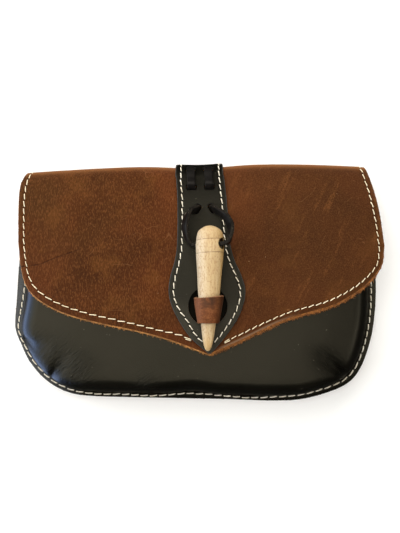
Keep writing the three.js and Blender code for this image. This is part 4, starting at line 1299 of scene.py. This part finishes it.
BODY_FRONT_SEAM, BODY_BACK_SEAM = body_seams()
FLAP_SEAMS = flap_seams()


def flap_sheet():
    grid = flap_grid()
    rows, columns = grid.shape[:2]
    border = border_loops(rows, columns, False)[0]
    share = evenly(columns)
    lower = smooth_step(share / FLAP_RIM_FADE.left) * smooth_step((1 - share) / FLAP_RIM_FADE.right)
    rim = {}
    for key, (plain, more_left, more_right) in FLAP_RIM.items():
        rim[key] = np.full(len(border), plain)
        rim[key][:columns] += lower * np.where(share < 0.5, more_left, more_right)
    piece = leather_sheet("flap_sheet", grid, LEATHER, BROWN, **rim)
    cut_away(piece, flap_cutters(), BROWN[2])
    points = mesh_points(piece)
    on_back = points[:, 2] < BACK_Z + 1.5
    to_flap = border_distance(points, FLAP_BORDER)
    to_body = border_distance(points, BODY.at(evenly(1500)))
    set_values(piece, "edge_mm", np.where(on_back, to_body, to_flap))
    off_crease = side_of_line(points, Curve(FLAP_CREASE).at(evenly(400)))
    set_values(piece, "crease_off", np.where(on_back, NO_CREASE, off_crease))
    mark_seams(piece, [*FLAP_SEAMS, BODY_BACK_SEAM])
    return piece


def edge_fibres():
    """Loose fibres that stand out of the flap's raw lower edge, more of them on the right."""
    angles = around(FIBRES.sides)
    along = evenly(FIBRES.rings)
    tubes = []
    for edge, (number, start, end) in ((EDGE_LEFT, FIBRES.left), (EDGE_RIGHT, FIBRES.right)):
        shares = random.uniform(start, end, number)
        way = unit(edge.at(shares + 0.004) - edge.at(shares - 0.004))
        for (x, y), (way_x, way_y) in zip(edge.at(shares), way):
            lean = random.normal(0, FIBRES.lean)
            length = random.uniform(*FIBRES.length)
            tilt = random.normal(0, FIBRES.tilt)
            level = random.uniform(*FIBRES.level)
            bend = random.normal(0, FIBRES.bend, 2)
            aim = unit(np.array((way_y + lean * way_x, lean * way_y - way_x, tilt)))
            root = np.array((x, y, float(flap_height(x, y)) + level)) - aim * FIBRES.rooted
            side = unit(np.cross(aim, (0.0, 0.0, 1.0)))
            up = np.cross(side, aim)
            middle = root + aim * (along * (length + FIBRES.rooted))[:, None]
            middle = middle + (side * bend[0] + up * bend[1]) * (along ** 2 * length)[:, None]
            radius = FIBRES.radius * (1 - FIBRES.taper * along)
            ring = side * np.cos(angles)[:, None] + up * np.sin(angles)[:, None]
            tubes.append(middle[:, None] + radius[:, None, None] * ring[None])
    return joined_tubes("edge_fibres", tubes, BROWN[2])


# The front panel

def front_shell():
    """Rays from the outline in to the mouth, over the flange, the wall and the crown."""
    rays = PANEL_MESH.rays
    share = evenly(rays)
    along = BODY.share_at_y(MOUTH_Y, 0, 0.3) * (1 - share) + BODY.share_at_y(MOUTH_Y, 1, 0.7) * share
    edge = BODY.at(along)
    tangent = unit(BODY.at(along + 0.001) - BODY.at(along - 0.001))
    mouth = np.column_stack([MOUTH_INNER_HALF * (2 * share - 1), np.full(rays, MOUTH_Y)])
    length = np.linalg.norm(mouth - edge, axis=1)
    inward = unit(mouth - edge)
    squareness = np.abs(inward[:, 0] * tangent[:, 1] - inward[:, 1] * tangent[:, 0])
    flange = flange_width(edge[:, 0], edge[:, 1]) / squareness
    wall_end = flange + WALL_REACH / squareness
    distances = [flange * part for part in PANEL_MESH.flange]
    distances += [flange + wall_profile(t)[0] / squareness for t in evenly(PANEL_MESH.wall)]
    distances += [blend(wall_end, length, part) for part in evenly(PANEL_MESH.crown)[1:]]
    plan = edge[None] + inward[None] * np.array(distances)[..., None]
    height = panel_height(plan[..., 0], plan[..., 1])
    piece = leather_sheet("front_shell", np.dstack([plan, height]), LEATHER, BLACK, fray=0.08)
    x, y, _ = mesh_points(piece).T
    gathered = [bell(np.hypot(x - near_x, y - near_y), reach) for near_x, near_y, reach in GATHERS]
    set_values(piece, "gather", np.max(gathered, axis=0))
    set_values(piece, "fold_mm", pucker_depth(x, y, CREASE_NARROWED))
    # Where painted shade dulls the panel's shine under the keeper hole.
    to_hole = np.hypot(x - KEEPER_HOLE.x, y - KEEPER_HOLE.y)
    set_values(piece, "hole_shade", smooth_step(KEEPER_HOLE.radius + HOLE_SHADE_PAST - to_hole))
    # Where the painted cool sheen goes: left of its x, and on the flange's rim.
    on_left = smooth_step((COOL_SHEEN_ZONE.x - x) / COOL_SHEEN_ZONE.fade)
    on_rim = smooth_step((FLANGE.left + COOL_SHEEN_ZONE.past_flange - inside_outline(x, y)) / COOL_SHEEN_ZONE.soft)
    set_values(piece, "painted_cool_sheen", on_left * on_rim)
    mark_seams(piece, [BODY_FRONT_SEAM])
    return piece


# The tongue

def tongue_grid():
    """From the tip up the front, over the fold and down to the tail."""
    columns = crowded_ends(TONGUE_MESH.across, (0.012, 0.03))
    share = crowded_ends(TONGUE_MESH.front, (0.003, 0.006))[:-1]
    tip_y = TONGUE_EDGES[0, 0]
    left, right = tongue_edges_at(blend(tip_y, tangent_y(TONGUE_DIP.x), share))
    x = left[:, None] + (right - left)[:, None] * columns[None]
    station = (tangent_y(x) - tip_y) * (1 - share)[:, None]
    front = above_skin(x, station, np.full(x.shape, TONGUE_LIFT))
    tail = fold_centre_y(TONGUE_DIP.x) - TONGUE_TAIL_Y
    over_fold = FOLD_LENGTH * evenly(TONGUE_MESH.fold)
    down_back = FOLD_LENGTH + tail * evenly(TONGUE_MESH.tail)[1:]
    turns = -np.concatenate([over_fold, down_back])
    x = np.broadcast_to(blend(*TONGUE_EDGES[-1, 1:], columns), (len(turns), len(columns)))
    station = np.broadcast_to(turns[:, None], x.shape)
    back = above_skin(x, station, np.full(x.shape, TONGUE_LIFT))
    return np.concatenate([front, back])


def tongue_seam_line(side, count=500, turn_count=160):
    """One edge's seam: x, station pairs from the tip over the fold to the tail."""
    y = np.linspace(TONGUE_EDGES[0, 0] + TONGUE_SEAM_TIP, tangent_y(TONGUE_DIP.x), count)
    left, right = tongue_edges_at(y)
    line = np.column_stack([left if side < 0 else right, y])
    inset = np.full(count, TONGUE_SEAM)
    if side < 0:
        inset += TONGUE_SEAM_LEFT.deeper * bell(y - TONGUE_SEAM_LEFT.y, TONGUE_SEAM_LEFT.reach)
    line = offset_inward(line, side * inset)
    station = np.maximum(tangent_y(line[:, 0]) - line[:, 1], 0)
    tail = fold_centre_y(TONGUE_DIP.x) - TONGUE_TAIL_Y - TONGUE_SEAM
    turns = -np.linspace(0.3, FOLD_LENGTH + tail, turn_count)
    x = np.concatenate([line[:, 0], np.full(turn_count, line[-1, 0])])
    return x, np.concatenate([station, turns])


def tongue_seams():
    seams = []
    for side in (-1, 1):
        x, station = tongue_seam_line(side)
        up = skin_normal(x, station)
        points = skin_point(x, station) + up * (TONGUE_LIFT + LEATHER / 2)
        seams.append(Seam(points, up, thread=THREAD_RADIUS.tongue))
    ends = [seam.holes[-1] for seam in seams]
    across = np.linspace(*ends, 60)
    seams.append(Seam(across, np.tile(DOWN, (len(across), 1))))
    return seams


TONGUE_SEAMS = tongue_seams()


def tongue_strap():
    grid = tongue_grid()
    piece = leather_sheet("tongue_strap", grid, LEATHER, TONGUE, fray=0.025, skive=0.3, drop=0.25)
    cut_away(piece, flap_cutters(), TONGUE[2])
    points = mesh_points(piece)
    left, right = tongue_edges_at(points[:, 1])
    set_values(piece, "edge_mm", np.minimum(points[:, 0] - left, right - points[:, 0]))
    mark_seams(piece, TONGUE_SEAMS)
    return piece


# The toggle

def toggle_place(points):
    """From the toggle's own axes, its length along -Y from the head, to the bag's."""
    tilt, turn = -TOGGLE_TILT, -TOGGLE_TURN
    about_x = np.array([
        [1, 0, 0], [0, math.cos(tilt), -math.sin(tilt)], [0, math.sin(tilt), math.cos(tilt)],
    ])
    about_z = np.array([
        [math.cos(turn), -math.sin(turn), 0], [math.sin(turn), math.cos(turn), 0], [0, 0, 1],
    ])
    return np.asarray(points) @ (about_x @ about_z).T + TOGGLE_HEAD


def toggle_radius(along):
    return read_table(TOGGLE_PROFILE, along, 1)


def toggle_peg():
    """Turned from a profile that runs on past both ends of the axis, so that they are round."""
    profile = TOGGLE_PROFILE[:, ::-1]
    before, after = profile[0] * (-1, 1), profile[-1] * (-1, 1)
    profile = [before, (0, 0), *profile, (0, TOGGLE_LENGTH), after]
    per_span = 40
    line = Curve(profile, per_span).points[per_span:-per_span]
    run = run_along(line)
    where = np.arange(0.25, run[-1] - 0.2, TOGGLE_MESH.step)
    radius = np.interp(where, run, line[:, 0])
    along = np.interp(where, run, line[:, 1])
    for ring in TOGGLE_RINGS:
        radius = radius - RING_DEPTH * bell(along - ring, RING_REACH)
    rows, sides = len(along), TOGGLE_MESH.sides
    angles = around(sides)
    uneven = 1 + 0.006 * np.sin(2 * angles + 0.7)[None] + 0.004 * np.sin(along / 4.1)[:, None]
    wide = radius[:, None] * uneven
    down = np.broadcast_to(-along[:, None], wide.shape)
    grid = np.stack([wide * np.cos(angles), down, wide * np.sin(angles)], axis=-1)
    vertices = np.vstack([grid.reshape(-1, 3), [(0, 0, 0)], [(0, -TOGGLE_LENGTH, 0)]])
    faces = grid_quads(rows, sides, True, 0, True)
    head, tip = rows * sides, rows * sides + 1
    for k in range(sides):
        after = (k + 1) % sides
        faces.append([head, after, k])
        faces.append([tip, (rows - 1) * sides + k, (rows - 1) * sides + after])
    piece = make_piece("toggle_peg", toggle_place(vertices), faces, [WOOD])
    bore = circle(CROSS_BORE.radius, TOGGLE_MESH.bore_sides)
    points, polygons = prism(bore, -TOGGLE_LENGTH, TOGGLE_LENGTH)
    side, up = math.cos(CROSS_BORE.turn), math.sin(CROSS_BORE.turn)
    across, low, along_bore = points.T
    points = np.column_stack([
        along_bore * side + across * up, low - CROSS_BORE.along, along_bore * up - across * side,
    ])
    cut_away(piece, [(toggle_place(points), polygons)], WOOD)
    axis = toggle_place((0, -1, 0)) - TOGGLE_HEAD
    set_values(piece, "along_mm", (mesh_points(piece) - TOGGLE_HEAD) @ axis)
    return piece


# The keeper loop

def keeper_ring(share):
    """One round of the band: over the toggle, down a leg, along the foot and up the other leg."""
    foot_y = blend(*KEEPER_FOOT_Y, share)
    arch_y = blend(*KEEPER_ARCH_Y, share)
    along = (TOGGLE_HEAD[1] - arch_y) / math.cos(TOGGLE_TILT)
    axis_x, _, axis_z = toggle_place((0, -along, 0))
    skew = KEEPER_SKEW * (1 - share)
    half = float(toggle_radius(np.array([along]))[0]) + blend(*KEEPER_PLAY, share) + KEEPER_LEATHER / 2
    foot_z = float(flap_height(KEEPER_X, foot_y)) - CROWN_DROP + LEATHER + KEEPER_FOOT_GAP
    left, right = axis_x - half, axis_x + half

    def leg(x, top_y, parts):
        return [(x, top_y + (foot_y - arch_y - skew) * part, blend(axis_z, foot_z + KEEPER_CORNER, part))
                for part in parts]

    ring = []
    for angle in np.linspace(0, math.pi, KEEPER_MESH.arch):
        across, up = math.cos(angle), math.sin(angle)
        ring.append((axis_x + half * across, arch_y + skew * across, axis_z + half * up))
    parts = evenly(KEEPER_MESH.leg)[1:]
    ring += leg(left, arch_y - skew, parts)
    ring += [
        (left + KEEPER_CORNER, foot_y - 2 * skew, foot_z), (axis_x, foot_y - skew, foot_z),
        (right - KEEPER_CORNER, foot_y, foot_z),
    ]
    ring += leg(right, arch_y + skew, parts[::-1])
    closed = Curve([*ring, ring[0]], per_span=6)
    return closed.at(evenly(KEEPER_MESH.around, endpoint=False))


def keeper_band():
    shares = crowded_ends(KEEPER_MESH.rows, (0.015, 0.035))
    grid = np.array([keeper_ring(share) for share in shares])
    return leather_sheet(
        "keeper_band", grid, KEEPER_LEATHER, KEEPER, closed=True, fray=0.03, skive=0.2, drop=0.15,
    )


# The lace

def threaded(side):
    """One half of the lace, from under the tongue's top slot to its loop hole."""
    at_hole = unit(np.array((-side.outward, math.tan(LOOP_HOLE_TURN), 0.0)))
    level = np.array((-side.outward, 0.0, 0.0))
    rows = []
    for across, station, height in LACE_THREADING:
        first = min(int(across), 1)
        x = blend(*side.x[first:first + 2], across - first)
        wide = blend(level, at_hole, float(smooth_step(across - 1)))
        rows.append((above_skin(x, station, height), wide))
    return rows


def lace_route():
    """The places that the lace runs through, and the way that its broad side runs there."""
    side, up = math.cos(CROSS_BORE.turn), math.sin(CROSS_BORE.turn)
    in_bore = [
        (toggle_place((offset * side, -CROSS_BORE.along, offset * up)), (-up, 0.0, side))
        for offset in LACE_BORE_OFFSETS
    ]
    left, right = (threaded(lace_side) for lace_side in LACE_SIDES)
    route = [*left, *LACE_LOOP_LEFT, *in_bore, *LACE_LOOP_RIGHT, *right[::-1]]
    return np.array([place for place, _ in route]), np.array([wide for _, wide in route])


def centripetal(points, per_span):
    """A smooth space curve through points, with no loops where they lie close together."""
    padded = np.vstack([2 * points[0] - points[1], points, 2 * points[-1] - points[-2]])
    curve = []
    for before, start, end, after in zip(padded[:-3], padded[1:-2], padded[2:-1], padded[3:]):
        d0, d1, d2 = (math.sqrt(max(np.linalg.norm(b - a), 1e-4))
                      for a, b in ((before, start), (start, end), (end, after)))
        leave = ((start - before) / d0 - (end - before) / (d0 + d1) + (end - start) / d1) * d1
        arrive = ((end - start) / d1 - (after - start) / (d1 + d2) + (after - end) / d2) * d1
        for t in evenly(per_span, endpoint=False):
            curve.append(start + leave * t + (3 * end - 3 * start - 2 * leave - arrive) * t ** 2
                         + (2 * start - 2 * end + leave + arrive) * t ** 3)
    curve.append(points[-1])
    return np.array(curve)


def rounded(share, corner=0.42):
    """A circle's share drawn out towards a square's, which keeps round corners."""
    return np.sign(share) * np.abs(share) ** corner


def lace_thong():
    places, wides = lace_route()
    line = centripetal(places, LACE_MESH.per_span)
    where = np.arange(len(line)) / LACE_MESH.per_span
    wide = np.stack([np.interp(where, np.arange(len(wides)), column) for column in wides.T], axis=-1)
    way = unit(np.gradient(line, axis=0))
    wide = unit(wide - way * np.sum(wide * way, axis=1, keepdims=True))
    thick = np.cross(wide, way)
    angles = around(LACE_MESH.sides)
    across = rounded(np.cos(angles)) * LACE.width / 2
    through = rounded(np.sin(angles)) * LACE.thickness / 2
    uneven = 1 + 0.03 * np.sin(where * 2.3) + 0.02 * np.sin(where * 5.1 + 1)
    grid = line[:, None] + wide[:, None] * (across[None] * uneven[:, None])[..., None]
    grid = grid + thick[:, None] * through[None, :, None]
    faces = tube_faces(len(line), LACE_MESH.sides, 0, False)
    piece = make_piece("lace_thong", grid.reshape(-1, 3), faces, [LACE_SKIN], sharp=60)
    cut = smooth_step(np.abs(across) / LACE.width * 20 - 8.6)
    set_values(piece, "cut", np.broadcast_to(cut, grid.shape[:2]).reshape(-1))
    return piece


# The belt loop

def belt_line():
    """The strip's middle, from its top end down to its bottom end: y, z."""
    margin_z = BACK_Z - LEATHER - GAP
    flat_z = LEATHER / 2
    y = np.linspace(BELT_LOOP.top, BELT_LOOP.bottom, BELT_MESH.along)
    from_end = np.minimum(BELT_LOOP.top - y, y - BELT_LOOP.bottom)
    share = (from_end - BELT_LOOP.margin) / BELT_LOOP.ramp
    return np.column_stack([y, blend(margin_z, flat_z, smooth_step(share))])


def belt_seams():
    seams = []
    half = BELT_LOOP.width / 2 - BELT_SEAM_INSET
    z = BACK_Z - LEATHER - GAP - LEATHER / 2
    for end, inward in ((BELT_LOOP.top, -1), (BELT_LOOP.bottom, 1)):
        for row in BELT_SEAM_ROWS:
            x = np.linspace(-half, half, 80)
            points = np.column_stack([x, np.full(len(x), end + inward * row), np.full(len(x), z)])
            seams.append(Seam(points, np.tile(DOWN, (len(x), 1)), slant=0.1))
    return seams


BELT_SEAMS = belt_seams()


def belt_strap():
    line = belt_line()
    x = BELT_LOOP.width / 2 * (2 * crowded_ends(BELT_MESH.across, (0.004, 0.01)) - 1)
    grid = np.empty((len(line), len(x), 3))
    grid[..., 0] = x[None]
    grid[..., 1:] = line[:, None]
    piece = leather_sheet("belt_strap", grid, LEATHER, BROWN, fray=0.05)
    points = mesh_points(piece)
    ends = np.minimum(BELT_LOOP.top - points[:, 1], points[:, 1] - BELT_LOOP.bottom)
    set_values(piece, "edge_mm", np.minimum(BELT_LOOP.width / 2 - np.abs(points[:, 0]), ends))
    set_values(piece, "crease_off", np.full(len(points), NO_CREASE))
    mark_seams(piece, BELT_SEAMS)
    return piece


# The pieces, what they stand for and their finishes
PIECES = [
    (flap_sheet(), "brown_leather", "back_flap"),
    (front_shell(), "black_leather", "front_panel"),
    (tongue_strap(), "tongue_leather", "tongue"),
    (toggle_peg(), "toggle_wood", "toggle"),
    (lace_thong(), "lace_leather", "toggle_lace"),
    (keeper_band(), "keeper_leather", "keeper_loop"),
    (belt_strap(), "brown_leather", "belt_loop"),
    (edge_fibres(), "brown_leather", None),
    (stitches("flap_stitches", FLAP_SEAMS, FLAP_THREAD), "sewing_thread", None),
    (stitches("tongue_stitches", TONGUE_SEAMS, THREAD), "sewing_thread", None),
    (stitches("body_stitches", [BODY_FRONT_SEAM, BODY_BACK_SEAM], THREAD), "sewing_thread", None),
    (stitches("belt_loop_stitches", BELT_SEAMS, THREAD), "sewing_thread", None),
]
for piece, slot, node in PIECES:
    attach(piece, "root")
    if node:
        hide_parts(node)


# The floor, the light and the camera

FLOOR_HALF = 6500
FLOOR_GLOW = Sizes(near=0.15, far=0.9, start=400, end=2200)
BACKDROP = Sizes(radius=6000, height=8000, sides=64)
STRIP = Sizes(off=60, low=-160, high=110, strength=1.75, top=60, bottom=-59)
DARK = (0, 0, 0, 1)
WHITE = (1.0, 1.0, 1.0, 1)


def pale_floor():
    """A pale floor that the lamps light near the bag, and that glows as pale further out."""
    s = Shader("pale_floor")
    glow = s.ranged(
        s.of_place("LENGTH", "Value"), FLOOR_GLOW.start, FLOOR_GLOW.end, FLOOR_GLOW.near,
        FLOOR_GLOW.far,
    )
    return s.finish(
        Base_Color=(0.86, 0.86, 0.85, 1), Roughness=0.9, Specular_IOR_Level=0.1, Emission_Color=WHITE,
        Emission_Strength=glow,
    )


def pale_backdrop():
    return Shader("pale_backdrop").finish(
        Base_Color=DARK, Specular_IOR_Level=0.0, Emission_Color=WHITE, Emission_Strength=FLOOR_GLOW.far,
    )


def cool_strip():
    s = Shader("cool_strip")
    colour = s.ramp(s.ranged(s.axis("Z"), 0, STRIP.high), [
        (0.0, (0.42, 0.58, 1.0)), (0.3, (0.75, 0.85, 1.0)), (1.0, (1.0, 0.98, 0.93)),
    ])
    return s.finish(
        Base_Color=DARK, Specular_IOR_Level=0.0, Emission_Color=colour, Emission_Strength=STRIP.strength,
    )


def upright(line, low, high):
    """The points of a wall that stands on a plan line."""
    return [(x, y, z) for z in (low, high) for x, y in line]


FLOOR_CORNERS = [(FLOOR_HALF * x, FLOOR_HALF * y, 0) for x, y in ((-1, -1), (1, -1), (1, 1), (-1, 1))]
floor = make_piece("floor", FLOOR_CORNERS, [[0, 1, 2, 3]], [pale_floor()])
floor.visible_glossy = False

# A far round wall behind the floor's end, which lights nothing
backdrop_points = upright(circle(BACKDROP.radius, BACKDROP.sides), 0, BACKDROP.height)
backdrop_faces = grid_quads(2, BACKDROP.sides, True, 0, True)
backdrop = make_piece("backdrop", backdrop_points, backdrop_faces, [pale_backdrop()])
backdrop.visible_glossy = False
backdrop.visible_diffuse = False
backdrop.visible_shadow = False

# A cool strip round the left edge that shows only in the shine of the leather
strip_shares = (BODY.share_at_y(STRIP.top, 0, 0.3), BODY.share_at_y(STRIP.bottom, 0, 0.35))
strip_line = offset_inward(BODY.at(np.linspace(*strip_shares, 60)), -STRIP.off)
strip_points = upright(strip_line, STRIP.low, STRIP.high)
strip = make_piece("strip", strip_points, grid_quads(2, len(strip_line), False, 0, False), [cool_strip()])
strip.visible_camera = False
strip.visible_diffuse = False
strip.visible_shadow = False

# Soft lamps: place, size, power, colour, and whether they show in the shine of the leather
LAMPS = {
    "overhead": ((0.05, 0.30, 1.5), (1.2, 1.3), 6.2, (1.0, 0.97, 0.9), True),
    "overhead_left": ((-1.2, 0.30, 1.5), (1.2, 1.3), 7.8, (1.0, 0.97, 0.9), True),
    "overhead_right": ((1.65, 0.0, 1.15), (0.9, 1.3), 5.2, (1.0, 0.97, 0.9), True),
    "sky": ((0.1, -0.2, 1.5), (2.2, 2.2), 9, (1.0, 0.97, 0.93), False),
    "key": ((-0.6, 0.7, 1.05), (1.1, 0.8), 7.5, (1.0, 0.98, 0.95), False),
    "window": ((-1.5, 0.05, 0.75), (2.0, 1.3), 13, (0.82, 0.91, 1.0), True),
    "fill": ((0.35, -0.8, 1.2), (1.2, 0.8), 5.5, (1.0, 0.98, 0.96), False),
    "rim": ((0.0, 0.9, 0.35), (1.4, 0.4), 10, (1.0, 0.97, 0.92), False),
}
for name, (place, size, power, colour, shine) in LAMPS.items():
    lamp = bpy.data.lights.new(name, "AREA")
    lamp.shape = "RECTANGLE"
    lamp.size, lamp.size_y = size
    lamp.energy = power
    lamp.color = colour
    light = bpy.data.objects.new(name, lamp)
    light.location = place
    light.rotation_euler = (-Vector(place)).to_track_quat("-Z", "Y").to_euler()
    light.visible_glossy = shine
    bpy.context.scene.collection.objects.link(light)

world = bpy.data.worlds.new("studio")
world.use_nodes = True
world.node_tree.nodes["Background"].inputs["Color"].default_value = (1.0, 0.95, 0.82, 1)
world.node_tree.nodes["Background"].inputs["Strength"].default_value = 0.02
bpy.context.scene.world = world
bpy.context.scene.view_settings.view_transform = "Standard"

camera_data = bpy.data.cameras.new("camera")
camera_data.lens = CAMERA.lens
camera = bpy.data.objects.new("camera", camera_data)
camera.location = (CAMERA.x * MM, CAMERA.y * MM, CAMERA.z * MM)
bpy.context.scene.collection.objects.link(camera)
bpy.context.scene.camera = camera
